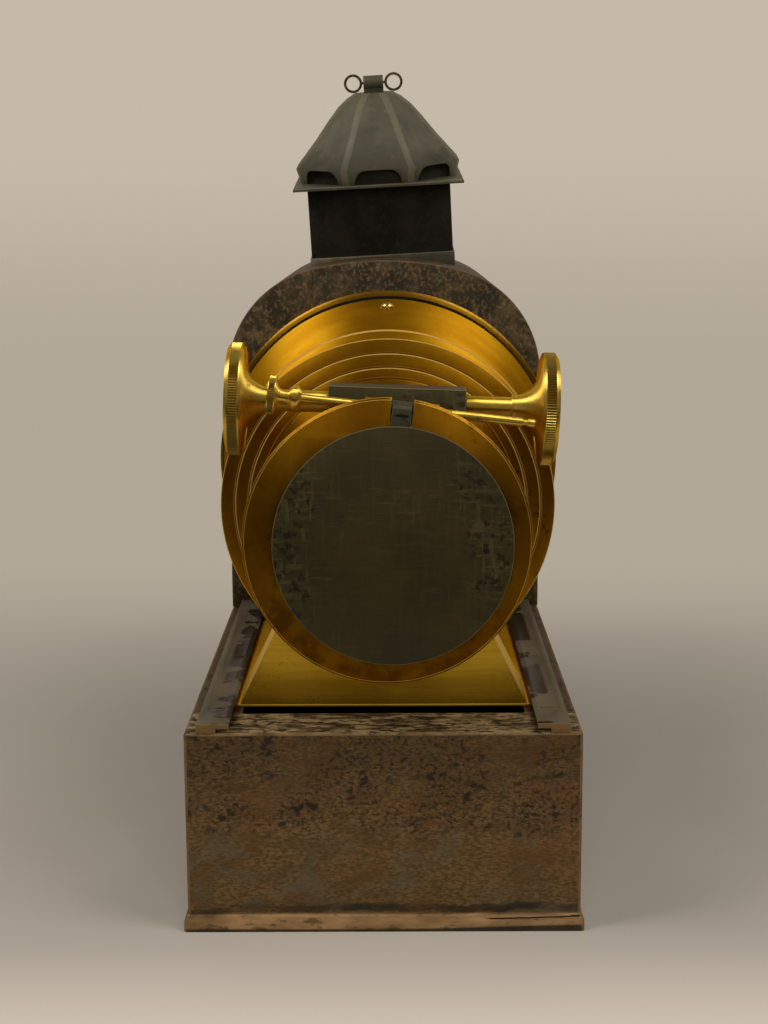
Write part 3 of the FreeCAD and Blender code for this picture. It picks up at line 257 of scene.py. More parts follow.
def combine(tree, operation, first, second):
    """One value made of two, each a socket or a plain number."""
    sum_node = tree.nodes.new("ShaderNodeMath")
    sum_node.operation = operation
    for socket, value in zip(sum_node.inputs, (first, second)):
        if isinstance(value, (int, float)):
            socket.default_value = value
        else:
            tree.links.new(value, socket)
    return sum_node.outputs[0]


def overlay(tree, share, under, over):
    """One colour laid over another by a share; each colour is a socket or plain red, green and blue."""
    mix = tree.nodes.new("ShaderNodeMix")
    mix.data_type = "RGBA"
    tree.links.new(share, mix.inputs[0])
    for socket, colour in ((mix.inputs[6], under), (mix.inputs[7], over)):
        if isinstance(colour, tuple):
            socket.default_value = (*colour, 1)
        else:
            tree.links.new(colour, socket)
    return mix.outputs[2]


def axes_of(tree, place):
    """The piece's X, Y and Z as three values."""
    split = tree.nodes.new("ShaderNodeSeparateXYZ")
    tree.links.new(place, split.inputs["Vector"])
    return split.outputs["X"], split.outputs["Y"], split.outputs["Z"]


def worn_share(tree):
    """The share of wear marked on a shape's rounded-over edges."""
    mark = tree.nodes.new("ShaderNodeAttribute")
    mark.attribute_name = "worn"
    return mark.outputs["Fac"]


def relief(tree, shader, height, depth):
    """Raise the surface by a height pattern, so many metres deep."""
    bump = tree.nodes.new("ShaderNodeBump")
    bump.inputs["Distance"].default_value = depth
    tree.links.new(height, bump.inputs["Height"])
    tree.links.new(bump.outputs["Normal"], shader.inputs["Normal"])


def round_over(shape, edge, sharp=30.0, segments=2):
    """Round a shape's sharp edges, mark the rounded strips as worn and shade it smooth between them."""
    worn = shape.faces.layers.float.get("worn") or shape.faces.layers.float.new("worn")
    limit = math.radians(sharp)
    corners = [line for line in shape.edges if line.is_manifold and line.calc_face_angle() > limit]
    made = bmesh.ops.bevel(shape, geom=corners, offset=edge, segments=segments, profile=0.5,
                           affect="EDGES", material=-1, clamp_overlap=True)
    for face in made["faces"]:
        face[worn] = 1.0
    smooth_between(shape)


def smooth_between(shape, sharp=32.0):
    """Shade a shape smooth, with creases where its faces meet at more than so many degrees."""
    for face in shape.faces:
        face.smooth = True
    for line in shape.edges:
        line.smooth = line.is_manifold and line.calc_face_angle() < math.radians(sharp)


def softened(node, edge):
    """A copy of a solid with its flats joined up and its sharp edges rounded over."""
    shape = bmesh.new()
    shape.from_mesh(cad_nodes[node].data)
    bmesh.ops.remove_doubles(shape, verts=shape.verts, dist=2e-6)
    bmesh.ops.dissolve_limit(shape, angle_limit=math.radians(0.5), verts=shape.verts, edges=shape.edges)
    round_over(shape, edge)
    return shape


def settle(name, shape, finish, body, slot, *stands_for):
    """Make a shape a piece that rides on a body, takes a finish and stands for its solids. The slot is not
    used.
    """
    mesh = bpy.data.meshes.new(name)
    shape.to_mesh(mesh)
    shape.free()
    mesh.materials.append(finish)
    piece = bpy.data.objects.new(name, mesh)
    scene.collection.objects.link(piece)
    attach(piece, body)
    if stands_for:
        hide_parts(*stands_for)
    return piece


def coat(finish, *names):
    """Give solids whose shape is right their finish."""
    for name in names:
        cad_nodes[name].data.materials.clear()
        cad_nodes[name].data.materials.append(finish)


japan, tree, shader, place = new_finish("worn_brown_japan")
across, along, up = axes_of(tree, place)
grain = mottle(tree, place, 1300, (0.38, 0.38, 0.95), shift=1.7, detail=9)
brown = overlay(tree, ease(tree, grain, 0.38, 0.62), japan_brown, japan_pale)
brown = overlay(tree, ease(tree, mottle(tree, place, 55, shift=3.1), 0.48, 0.66, 0, 0.55), brown, japan_red)
dim = ease(tree, mottle(tree, place, 110, (0.6, 0.6, 1.2)), 0.44, 0.62, 0, 0.5)
brown = overlay(tree, dim, brown, japan_brown)
slate = mottle(tree, place, 80, (0.7, 0.7, 1), shift=7.7, detail=8)
slate = combine(tree, "MULTIPLY", ease(tree, slate, 0.48, 0.66, 0, 0.5),
                ease(tree, up, 0.030, 0.050, 1, 0.25))
brown = overlay(tree, slate, brown, japan_slate)
top_grime = tuple(0.55 * part for part in japan_brown)
brown = overlay(tree, ease(tree, up, 0.040, 0.076, 0, 0.45), brown, top_grime)
chip_zone = combine(tree, "ADD", ease(tree, mottle(tree, place, 34, shift=5.2), 0.36, 0.62, 0, 0.7),
                    ease(tree, up, 0.020, 0.048, -0.70, 0.42))
speck = ease(tree, mottle(tree, place, 720, (0.75, 0.75, 1), shift=2.3, detail=4), 0.51, 0.61, 0, 0.85)
blotch = ease(tree, mottle(tree, place, 230, (0.85, 0.85, 1.1), shift=4.8, detail=6), 0.535, 0.63)
chips = combine(tree, "MAXIMUM", speck, blotch)
chips = combine(tree, "MULTIPLY", chips, ease(tree, chip_zone, 0.38, 0.92))
brown = overlay(tree, combine(tree, "MULTIPLY", chips, 0.9), brown, japan_black)
lip = combine(tree, "MULTIPLY", ease(tree, up, deck_top - 0.0012, deck_top - 0.0003),
              ease(tree, along, channel_front + 0.004, channel_front - 0.002))
lip_worn = ease(tree, mottle(tree, place, 150, (0.6, 1.6, 1), shift=5.5, detail=7), 0.40, 0.58)
brown = overlay(tree, combine(tree, "MULTIPLY", lip, lip_worn), brown, lip_tan)
lip_chips = ease(tree, mottle(tree, place, 330, (0.6, 1.5, 1), shift=8.1, detail=6), 0.51, 0.57)
brown = overlay(tree, combine(tree, "MULTIPLY", lip, lip_chips), brown, japan_black)
rim_cloud = ease(tree, mottle(tree, place, 60, (0.4, 0.4, 1), shift=4.4), 0.38, 0.62)
rim_tone = overlay(tree, rim_cloud, rim_rust, edge_rust)
rim_chips = ease(tree, mottle(tree, place, 260, (0.5, 0.5, 1.4), shift=9.4, detail=7), 0.53, 0.66, 0, 0.75)
rim_tone = overlay(tree, rim_chips, rim_tone, japan_brown)
# Painted shadow: the rim is coloured black along its lower edge, and the band rises toward the front right
# where the rim is bent up.
rim_shadow_rise = combine(tree, "MULTIPLY", ease(tree, across, 0.005, base_half_wide, 0, 0.0015),
                   ease(tree, along, base_front + 0.03, base_front))
rim_painted_shadow = ease(tree, combine(tree, "SUBTRACT", up, rim_shadow_rise), 0.0016, 0.0006, 0, 0.9)
rim_tone = overlay(tree, rim_painted_shadow, rim_tone, japan_black)
split_start = 0.038
split_climb = 0.027
split_low = 0.0045
split_wobble = combine(tree, "MULTIPLY", mottle(tree, place, 60, (1, 1, 0.01), shift=7.3), 0.0010)
split_rise = combine(tree, "MULTIPLY", combine(tree, "SUBTRACT", across, split_start), split_climb)
split_rise = combine(tree, "ADD", combine(tree, "ADD", split_rise, split_wobble), split_low)
split_side = combine(tree, "SUBTRACT", up, split_rise)
split_front = combine(tree, "MULTIPLY", ease(tree, across, split_start, split_start + 0.003),
                      ease(tree, along, base_front + 0.0004, base_front - 0.0002))
split_lip = combine(tree, "MULTIPLY", ease(tree, split_side, 0.0001, 0.0004, 0, 0.7), split_front)
rim_tone = overlay(tree, split_lip, rim_tone, rim_rust)
split_line = ease(tree, combine(tree, "ABSOLUTE", split_side, 0), 0.00040, 0.00020)
rim_tone = overlay(tree, combine(tree, "MULTIPLY", split_line, split_front), rim_tone, japan_black)
brown = overlay(tree, ease(tree, up, rim_top + 0.0010, rim_top - 0.0004), brown, rim_tone)
wave = combine(tree, "MULTIPLY", mottle(tree, place, 16, (1, 1, 0.01), shift=3.6), -0.016)
soot_away = combine(tree, "ADD", combine(tree, "ADD", up, wave), -0.0012)
soot_line = ease(tree, combine(tree, "ABSOLUTE", soot_away, 0), 0.0022, 0.0008)
soot_cloud = ease(tree, mottle(tree, place, 45, (0.5, 0.5, 1), shift=6.1), 0.36, 0.58, 0.1, 0.8)
soot_line = combine(tree, "MULTIPLY", soot_line, soot_cloud)
brown = overlay(tree, soot_line, brown, japan_black)
edge_wear = combine(tree, "MULTIPLY", worn_share(tree),
                    ease(tree, mottle(tree, place, 70, shift=8.3), 0.38, 0.55, 0.2, 0.75))
brown = overlay(tree, edge_wear, brown, edge_rust)
tree.links.new(brown, shader.inputs["Base Color"])
shader.inputs["Specular IOR Level"].default_value = 0.12
tree.links.new(ease(tree, grain, 0.3, 0.7, 0.55, 0.68), shader.inputs["Roughness"])
relief(tree, shader, combine(tree, "SUBTRACT", grain, combine(tree, "MULTIPLY", chips, 0.7)), 0.00010)

base_shape = bmesh.new()
bmesh.ops.create_cube(base_shape, size=1)
base_middle = (base_front + base_back) / 2
base_size = (2 * base_half_wide, base_back - base_front, deck_top - rim_top)
base_centre = Matrix.Translation((0, -base_middle, 0))
bmesh.ops.scale(base_shape, vec=base_size, verts=base_shape.verts)
bmesh.ops.translate(base_shape, vec=(0, base_middle, (deck_top + rim_top) / 2), verts=base_shape.verts)
bmesh.ops.delete(base_shape, geom=[f for f in base_shape.faces if f.normal.z < -0.5], context="FACES_ONLY")
round_over(base_shape, base_edge, segments=3)
for out, drop in ((0.6 * rim_out, 0.0007), (0.4 * rim_out, 0.0020), (0.0, 0.0039)):
    foot_lines = [line for line in base_shape.edges if line.is_boundary]
    made = bmesh.ops.extrude_edge_only(base_shape, edges=foot_lines)["geom"]
    foot_corners = [part for part in made if isinstance(part, bmesh.types.BMVert)]
    grow = (1 + out / base_half_wide, 1 + out / ((base_back - base_front) / 2), 1)
    bmesh.ops.scale(base_shape, vec=grow, space=base_centre, verts=foot_corners)
    bmesh.ops.translate(base_shape, vec=(0, 0, -drop), verts=foot_corners)
for cut_at, cut_way in (((channel_half_wide, 0, 0), (1, 0, 0)), ((-channel_half_wide, 0, 0), (1, 0, 0)),
                        ((0, channel_front, 0), (0, 1, 0)), ((0, house_front, 0), (0, 1, 0))):
    deck = [f for f in base_shape.faces if f.normal.z > 0.999]
    deck_parts = list({part for f in deck for part in (*f.verts, *f.edges)}) + deck
    bmesh.ops.bisect_plane(base_shape, geom=deck_parts, plane_co=cut_at, plane_no=cut_way)
open_deck = [f for f in base_shape.faces if f.normal.z > 0.999
             and abs(f.calc_center_median().x) < channel_half_wide
             and channel_front < f.calc_center_median().y < house_front]
bmesh.ops.delete(base_shape, geom=open_deck, context="FACES")
bmesh.ops.recalc_face_normals(base_shape, faces=base_shape.faces)
bmesh.ops.solidify(base_shape, geom=base_shape.faces, thickness=sheet_thick)
smooth_between(base_shape)
settle("base_japanned_shell", base_shape, japan, "lantern", "japanned_iron", "base_shell")
floor_shape = softened("base_floor", 0.0002)
floor_grow = (1 + floor_margin / base_half_wide, 1 + floor_margin / (base_back - base_middle), 1)
bmesh.ops.scale(floor_shape, vec=floor_grow, space=base_centre, verts=floor_shape.verts)
settle("base_japanned_floor", floor_shape, japan, "lantern", "japanned_iron", "base_floor")


# Split in the rim. At the front right the turned-out foot has cracked along its fold,
# and a thin tongue of iron lifts away from it.
tongue_from = 0.030
tongue_long = 0.0445
tongue_out = 0.0009
tongue_rise = 0.0052
tongue_lift = 0.0016
tongue_thick = 0.0004
split_shape = bmesh.new()
bmesh.ops.create_grid(split_shape, x_segments=14, y_segments=2, size=0.5)
for corner in split_shape.verts:
    share = corner.co.x + 0.5
    lift = tongue_lift * math.sin(math.pi * share) * (0.6 + 0.4 * math.sin(9 * share))
    tongue_wide = 0.0006 + 0.0021 * math.sin(math.pi * share ** 0.8)
    corner.co = Vector((tongue_from + tongue_long * share,
                        base_front - tongue_out - 0.0004 * math.sin(2.2 * share),
                        tongue_rise + 0.0004 * share + lift * 0.6 + corner.co.y * tongue_wide))
bmesh.ops.recalc_face_normals(split_shape, faces=split_shape.faces)
if split_shape.faces[:][0].normal.y > 0:
    bmesh.ops.reverse_faces(split_shape, faces=split_shape.faces)
bmesh.ops.solidify(split_shape, geom=split_shape.faces, thickness=tongue_thick)
smooth_between(split_shape)
settle("rim_split_tongue", split_shape, japan, "lantern", "japanned_iron")


# Runners. Two flat strips screwed along the deck, grooved underneath for the sliding foot;
# dull grey-brown metal with dark oily patches on the inner side and bare brass at the sawn ends.
runner_grey = (0.080, 0.064, 0.040)
runner_brown = (0.108, 0.082, 0.048)
runner_oil = (0.018, 0.012, 0.005)
runner_end = (0.125, 0.072, 0.024)
runner_inner = 0.0579
runner_wide = 0.0124
runner, tree, shader, place = new_finish("dull_runner_strip")
across, along, up = axes_of(tree, place)
inward = ease(tree, combine(tree, "ABSOLUTE", across, 0), runner_inner + runner_wide, runner_inner)
dull_cloud = ease(tree, mottle(tree, place, 55, (1, 0.4, 1)), 0.38, 0.62)
dull = overlay(tree, dull_cloud, runner_grey, runner_brown)
oil = ease(tree, mottle(tree, place, 48, (0.7, 0.75, 1), shift=2.9), 0.44, 0.53)
oil = ease(tree, combine(tree, "MULTIPLY", oil, inward), 0.25, 0.45)
dull = overlay(tree, oil, dull, runner_oil)
dull = overlay(tree, ease(tree, along, base_front + 0.0006, base_front + 0.0001), dull, runner_end)
dull = overlay(tree, combine(tree, "MULTIPLY", worn_share(tree), 0.5), dull, (0.23, 0.19, 0.125))
tree.links.new(dull, shader.inputs["Base Color"])
shader.inputs["Specular IOR Level"].default_value = 0.12
tree.links.new(ease(tree, oil, 0, 1, 0.50, 0.40), shader.inputs["Roughness"])
relief(tree, shader, mottle(tree, place, 500, (1, 0.2, 1)), 0.00008)
for side in ("left", "right"):
    strip_shape = softened("runner_" + side, 0.0004)
    settle("runner_strip_" + side, strip_shape, runner, "lantern", "runner_metal", "runner_" + side)
coat(runner, "runner_screws")


# Lamphouse. An arched shell of dark planished iron between a front plate and a back plate,
# wired and soldered at the seams; the surface is speckled black, rust red and grey.
iron_dark = (0.016, 0.013, 0.006)
iron_mid = (0.060, 0.040, 0.016)
iron_rust = (0.130, 0.070, 0.025)
iron_grey = (0.100, 0.080, 0.046)
iron, tree, shader, place = new_finish("speckled_sheet_iron")
speck = mottle(tree, place, 620, (1, 1, 0.8), shift=1.2, detail=7)
cloud = mottle(tree, place, 75, (1.3, 1.3, 0.9), detail=9)
dark = overlay(tree, ease(tree, cloud, 0.36, 0.62), iron_dark, iron_mid)
dark = overlay(tree, ease(tree, speck, 0.49, 0.62, 0, 0.72), dark, iron_rust)
pits = mottle(tree, place, 210, (1.2, 1.2, 0.8), shift=9.1, detail=8)
dark = overlay(tree, ease(tree, pits, 0.48, 0.62, 0, 0.75), dark, iron_dark)
dark = overlay(tree, ease(tree, mottle(tree, place, 240, shift=3.8), 0.58, 0.68, 0, 0.6), dark, iron_grey)
dark = overlay(tree, combine(tree, "MULTIPLY", worn_share(tree), 0.3), dark, (0.16, 0.105, 0.060))
tree.links.new(dark, shader.inputs["Base Color"])
shader.inputs["Specular IOR Level"].default_value = 0.2
tree.links.new(ease(tree, speck, 0.35, 0.65, 0.48, 0.64), shader.inputs["Roughness"])
relief(tree, shader, speck, 0.00015)
for plate in ("front", "shell", "back"):
    plate_shape = softened("house_" + plate, 0.0006)
    settle("lamphouse_" + plate, plate_shape, iron, "lantern", "blued_iron", "house_" + plate)


# Side door. A flat iron leaf that laps its opening, on a hinge behind it with a steel pin,
# with a turned brass knob and a peep window of ruby glass in a brass ring.
def glass_of(name, colour, roughness):
    """Old polished glass of one colour, a little uneven in its polish."""
    finish, tree, shader, place = new_finish(name)
    shader.inputs["Base Color"].default_value = (*colour, 1)
    shader.inputs["Transmission Weight"].default_value = 1.0
    shader.inputs["IOR"].default_value = 1.5
    polish = ease(tree, mottle(tree, place, 60), 0.35, 0.7, roughness, roughness + 0.05)
    tree.links.new(polish, shader.inputs["Roughness"])
    return finish


def brass_of(name, bright, deep, roughness, grain=None, spots=0.0, lathe=None):
    """Brass under old lacquer: clouded between a bright and a deep tone, spotted brown where it has failed.
    A grain is the way of its brush lines; lathe-turned brass has fine lines round one axis."""
    finish, tree, shader, place = new_finish(name)
    tone = overlay(tree, ease(tree, mottle(tree, place, 24), 0.36, 0.66), bright, deep)
    fine = mottle(tree, place, 520, grain or (1, 1, 1), shift=2.2, detail=3)
    fine_share = ease(tree, fine, 0.40, 0.68, 0, 0.22 if grain else 0.06)
    tone = overlay(tree, fine_share, tone, tuple(0.6 * part for part in deep))
    brown = tuple(0.16 * part + 0.006 for part in deep)
    zone = ease(tree, mottle(tree, place, 18, shift=6.6), 0.53, 0.66)
    blot = ease(tree, mottle(tree, place, 420, shift=4.1, detail=7), 0.58, 0.66)
    blot = combine(tree, "MULTIPLY", combine(tree, "MULTIPLY", blot, zone), spots)
    tone = overlay(tree, blot, tone, brown)
    # Wear and painted highlight: rounded-over edges are coloured paler, so they show as bright lines.
    rubbed = tuple(min(1.0, 1.1 * part + 0.05) for part in bright)
    tone = overlay(tree, combine(tree, "MULTIPLY", worn_share(tree), 0.75), tone, rubbed)
    tree.links.new(tone, shader.inputs["Base Color"])
    shader.inputs["Metallic"].default_value = 1.0
    shader.inputs["Specular Tint"].default_value = (1.0, 0.70, 0.25, 1)
    rough = ease(tree, fine, 0.3, 0.7, roughness - 0.03, roughness + 0.04)
    rough = combine(tree, "ADD", rough, combine(tree, "MULTIPLY", blot, 0.35))
    tree.links.new(rough, shader.inputs["Roughness"])
    if lathe:
        shader.inputs["Anisotropic"].default_value = 0.95
        shader.inputs["Anisotropic Rotation"].default_value = 0.25
        lathe_way = tree.nodes.new("ShaderNodeTangent")
        lathe_way.direction_type = "RADIAL"
        lathe_way.axis = lathe
        tree.links.new(lathe_way.outputs["Tangent"], shader.inputs["Tangent"])
    if grain:
        relief(tree, shader, fine, 0.00002)
    return finish


ruby = glass_of("ruby_glass", (0.50, 0.02, 0.02), 0.04)
plain_brass = brass_of("plain_turned_brass", (0.62, 0.43, 0.15), (0.44, 0.27, 0.075), 0.30, spots=0.7)
settle("door_iron_leaf", softened("door_leaf", 0.0004), iron, "door", "blued_iron", "door_leaf")
steel, tree, shader, place = new_finish("plain_steel")
grey = overlay(tree, ease(tree, mottle(tree, place, 90), 0.35, 0.65), (0.46, 0.42, 0.36), (0.24, 0.20, 0.15))
stain = ease(tree, mottle(tree, place, 240, shift=3.3), 0.56, 0.66, 0, 0.7)
grey = overlay(tree, stain, grey, (0.16, 0.09, 0.045))
tree.links.new(grey, shader.inputs["Base Color"])
shader.inputs["Metallic"].default_value = 1.0
tree.links.new(ease(tree, mottle(tree, place, 300), 0.3, 0.7, 0.24, 0.42), shader.inputs["Roughness"])
hinge_shape = softened("door_hinge_leaf", 0.0003)
settle("door_iron_hinge", hinge_shape, iron, "lantern", "blued_iron", "door_hinge_leaf")
coat(steel, "door_hinge_pin")
coat(plain_brass, "door_knob", "door_peep_ring")
coat(ruby, "door_peep_glass")


# Slide stage. A thin brass ring screwed to the lamphouse front, and two short posts from it
# that carry the drum and the shelf on which a slide stands in the gap between them.
lens_axis_x = 0.0019
lens_axis = 0.1518
lens_roll = math.radians(2.2)
shutter_roll = math.radians(6.5)
amber_bright = (0.50, 0.255, 0.010)
amber_deep = (0.39, 0.175, 0.005)


def on_lens_axis(shape, roll=0.0):
    """Turn a shape about the lens axis and set it there."""
    pose = Matrix.Translation((lens_axis_x, 0, lens_axis)) @ Matrix.Rotation(roll, 4, "Y")
    bmesh.ops.transform(shape, matrix=pose, verts=shape.verts)
    return shape


def turned(profile, edge, steps=192):
    """Turn a closed profile of radius and place along Y, in mm, about Y, and round its edges over."""
    shape = bmesh.new()
    corners = [shape.verts.new((radius / 1000, along / 1000, 0)) for radius, along in profile]
    lines = [shape.edges.new((corners[step - 1], corners[step])) for step in range(len(corners))]
    bmesh.ops.spin(shape, geom=corners + lines, cent=(0, 0, 0), axis=(0, 1, 0), angle=2 * math.pi,
                   steps=steps, use_merge=True)
    bmesh.ops.remove_doubles(shape, verts=shape.verts, dist=1e-7)
    bmesh.ops.recalc_face_normals(shape, faces=shape.faces)
    if edge:
        round_over(shape, edge, sharp=20.0)
    else:
        smooth_between(shape)
    return shape


lacquer = brass_of("amber_lacquered_brass", amber_bright, amber_deep, 0.50, spots=0.8, lathe="Y")
# Painted shade: the ring's face inside its rim is coloured black, for the dark of the gap between the ring
# and the drum.
stage_shade_within = 0.0786
gap_shade_black, tree, shader, place = new_finish("painted_shade_black")
shade_cloud = ease(tree, mottle(tree, place, 90), 0.36, 0.66)
gap_shade_tone = overlay(tree, shade_cloud, (0.006, 0.005, 0.003), (0.014, 0.011, 0.006))
tree.links.new(gap_shade_tone, shader.inputs["Base Color"])
shader.inputs["Specular IOR Level"].default_value = 0.1
shader.inputs["Roughness"].default_value = 0.8
stage_shape = turned([(60, 3.5), (81, 3.5), (81, 1.3), (80.4, 0.5), (1000 * stage_shade_within, 0.5),
                      (60, 0.5)], 0.0003)
for face in stage_shape.faces:
    middle = face.calc_center_median()
    face.material_index = int(math.hypot(middle.x, middle.z) < stage_shade_within)
stage_flat = -0.0729
stage_parts = [*stage_shape.verts, *stage_shape.edges, *stage_shape.faces]
made = bmesh.ops.bisect_plane(stage_shape, geom=stage_parts, plane_co=(0, 0, stage_flat), plane_no=(0, 0, -1),
                              clear_outer=True)
cut_lines = [part for part in made["geom_cut"] if isinstance(part, bmesh.types.BMEdge)]
bmesh.ops.holes_fill(stage_shape, edges=cut_lines)
smooth_between(stage_shape)
stage_ring = settle("stage_brass_ring", on_lens_axis(stage_shape), lacquer, "lantern", "lacquered_brass",
                    "stage_ring")
stage_ring.data.materials.append(gap_shade_black)
coat(plain_brass, "stage_posts", "stage_shelf")


# Condenser. A turned brass cell through the lamphouse front, with two plano-convex lenses of clear glass
# that throw the lamp's light through the slide.
clear_glass = glass_of("clear_lens_glass", (0.93, 0.97, 0.95), 0.01)
coat(plain_brass, "condenser_cell")
coat(clear_glass, "condenser_lens_front", "condenser_lens_rear")


# Drum. Spun brass, tapering forward to a raised collar, lacquered amber, with its edges rubbed pale and
# painted paler still as highlight lines;
# three round-headed screws hold it near its rear edge.
# Wear and painted highlight: a paler, rougher brass for rounded edges, so they show as bright lines from
# every side.
rubbed_edge_highlight = brass_of("rubbed_brass_edge_highlight", (0.64, 0.40, 0.075), (0.50, 0.28, 0.034), 0.58)


def rub_and_highlight_edges(piece, finish):
    """Give a piece's rounded-over edges a finish of their own."""
    piece.data.materials.append(finish)
    for face, mark in zip(piece.data.polygons, piece.data.attributes["worn"].data):
        face.material_index = int(mark.value > 0.5)


drum_shape = turned([(62.7, -127), (68.3, -127), (68.3, -87), (69, -87), (77.9, -12.5), (60, -12.5),
                     (60, -13.9), (76.5, -13.9), (67.6, -87), (66.9, -87), (66.9, -118),
                     (62.7, -118)], 0.00045)
drum = settle("drum_spun_brass", on_lens_axis(drum_shape), lacquer, "lantern", "lacquered_brass", "drum")
rub_and_highlight_edges(drum, rubbed_edge_highlight)
screw_radius = 0.0032
screw_rise = 0.0024
screw_seat = 0.07542
screw_y = -0.0365
drum_screw_shape = bmesh.new()
for screw_turn in (0, 120, 240):
    around = Matrix.Translation((lens_axis_x, 0, lens_axis))
    around = around @ Matrix.Rotation(math.radians(screw_turn), 4, "Y")
    flatten = Matrix.Scale(screw_rise / screw_radius, 4, (0, 0, 1))
    bmesh.ops.create_uvsphere(drum_screw_shape, u_segments=40, v_segments=20, radius=screw_radius,
                              matrix=around @ Matrix.Translation((0, screw_y, screw_seat)) @ flatten)
smooth_between(drum_screw_shape)
settle("drum_round_screws", drum_screw_shape, plain_brass, "lantern", "lacquered_brass", "drum_screws")


# Draws. Two thin brass tubes, one inside the other, that pull out of the drum with the lens;
# each has a flat turned rim in front.
draw_wall = 1.4
draw_rim = 2
for draw, radius, next_radius, front, length in (
    ("outer", 62.4, 57.0, -127.6, 95),
    ("inner", 56.7, 52.6, -128.2, 92),
):
    back = front + length
    within = radius - draw_wall
    draw_shape = turned([(next_radius, front), (radius, front), (radius, back), (within, back),
                         (within, front + draw_rim), (next_radius, front + draw_rim)], 0.00045)
    tube = settle("draw_%s_tube" % draw, on_lens_axis(draw_shape), lacquer, "draw_" + draw,
                  "lacquered_brass", "draw_" + draw)
    rub_and_highlight_edges(tube, rubbed_edge_highlight)


# Carriage. A stepped brass jacket for the focusing tube on a folded brass pedestal, brushed level,
# whose foot plate slides under the runners; a black enamelled box on top covers the pinion.
brushed_bright = (0.96, 0.60, 0.050)
brushed_deep = (0.80, 0.46, 0.026)
brushed = brass_of("level_brushed_brass", brushed_bright, brushed_deep, 0.48, grain=(0.06, 1, 1.6),
                   spots=0.5)
jacket = settle("jacket_brass", softened("jacket", 0.0004), lacquer, "carriage", "lacquered_brass", "jacket")
rub_and_highlight_edges(jacket, rubbed_edge_highlight)
saddle = settle("saddle_brass", softened("saddle", 0.0005), brushed, "carriage", "brushed_brass", "saddle")
# Painted reflection: the saddle's slanted sides get a paler brass, for the light surroundings they mirror.
saddle_side_reflection = brass_of("saddle_side_painted_reflection", (0.66, 0.50, 0.20), (0.48, 0.34, 0.10), 0.42, spots=0.6)
saddle.data.materials.append(saddle_side_reflection)
for face in saddle.data.polygons:
    face.material_index = int(abs(face.normal.x) > 0.25)
foot_shape = softened("carriage_foot", 0.0003)
settle("carriage_brass_foot", foot_shape, brushed, "carriage", "brushed_brass", "carriage_foot")


def enamel_of(name, black, worn_to, roughness, wear, scratch, rubbed_from=None):
    """Black enamel rubbed green-grey, with fine scratches, black patches and bare metal at the edges.
    A disc is rubbed most at its two sides, from so far out from the lens axis."""
    finish, tree, shader, place = new_finish(name)
    paler = tuple(1.35 * part for part in black)
    tone = overlay(tree, ease(tree, mottle(tree, place, 40), 0.36, 0.64), black, paler)
    level = ease(tree, mottle(tree, place, 700, (0.14, 1, 1.2), shift=2.6, detail=4), 0.52, 0.66)
    upright = ease(tree, mottle(tree, place, 700, (1.2, 1, 0.14), shift=5.9, detail=4), 0.52, 0.66)
    worn_zone = mottle(tree, place, 34, shift=8.8)
    if rubbed_from:
        aside = combine(tree, "SUBTRACT", axes_of(tree, place)[0], lens_axis_x)
        aside = combine(tree, "ABSOLUTE", aside, 0)
        outer = ease(tree, aside, rubbed_from, rubbed_from + 0.020, -0.12, 0.12)
        worn_zone = combine(tree, "ADD", worn_zone, outer)
    rub = combine(tree, "MAXIMUM", level, upright)
    rub = combine(tree, "MULTIPLY", rub, ease(tree, worn_zone, 0.44, 0.60, 0.2, 1))
    tone = overlay(tree, combine(tree, "MULTIPLY", rub, scratch), tone, (0.078, 0.064, 0.026))
    bald = combine(tree, "MULTIPLY", ease(tree, mottle(tree, place, 330, shift=1.9, detail=6), 0.52, 0.60),
                   ease(tree, worn_zone, 0.50, 0.62, 0, 0.8))
    tone = overlay(tree, bald, tone, tuple(0.22 * part for part in black))
    tone = overlay(tree, combine(tree, "MULTIPLY", worn_share(tree), wear), tone, worn_to)
    tree.links.new(tone, shader.inputs["Base Color"])
    shader.inputs["Specular IOR Level"].default_value = 0.2
    tree.links.new(ease(tree, rub, 0, 1, roughness, roughness + 0.15), shader.inputs["Roughness"])
    relief(tree, shader, level, 0.00003)
    return finish


box_black = enamel_of("rubbed_box_enamel", (0.027, 0.0225, 0.0070), (0.42, 0.27, 0.08), 0.42, 0.5, 0.5)
box_shape = softened("pinion_box", 0.0006)
box = settle("pinion_box_cover", box_shape, box_black, "carriage", "black_enamel", "pinion_box")
rub_and_highlight_edges(box, rubbed_edge_highlight)
rubbed_end = 0.0022
box_end = max(corner.co.x for corner in box.data.vertices) - rubbed_end
for face in box.data.polygons:
    face.material_index *= int(face.center.x > box_end)


# Pinion. A steel cross shaft with a small gear on the rack, and a turned brass knob at each end,
# with a trumpet hub and a finely milled rim.
pinion_y = -0.165
pinion_rise = 0.0464
knob_radius = 0.0215
knob_pale = brass_of("pale_knob_brass", (0.84, 0.60, 0.115), (0.65, 0.42, 0.055), 0.46, spots=0.6, lathe="X")
# Painted shade: the milled rims get a dark brass on every other flank of their ridges.
knob_groove_shade = brass_of("milled_groove_painted_shade", (0.26, 0.175, 0.040), (0.18, 0.115, 0.022), 0.50)


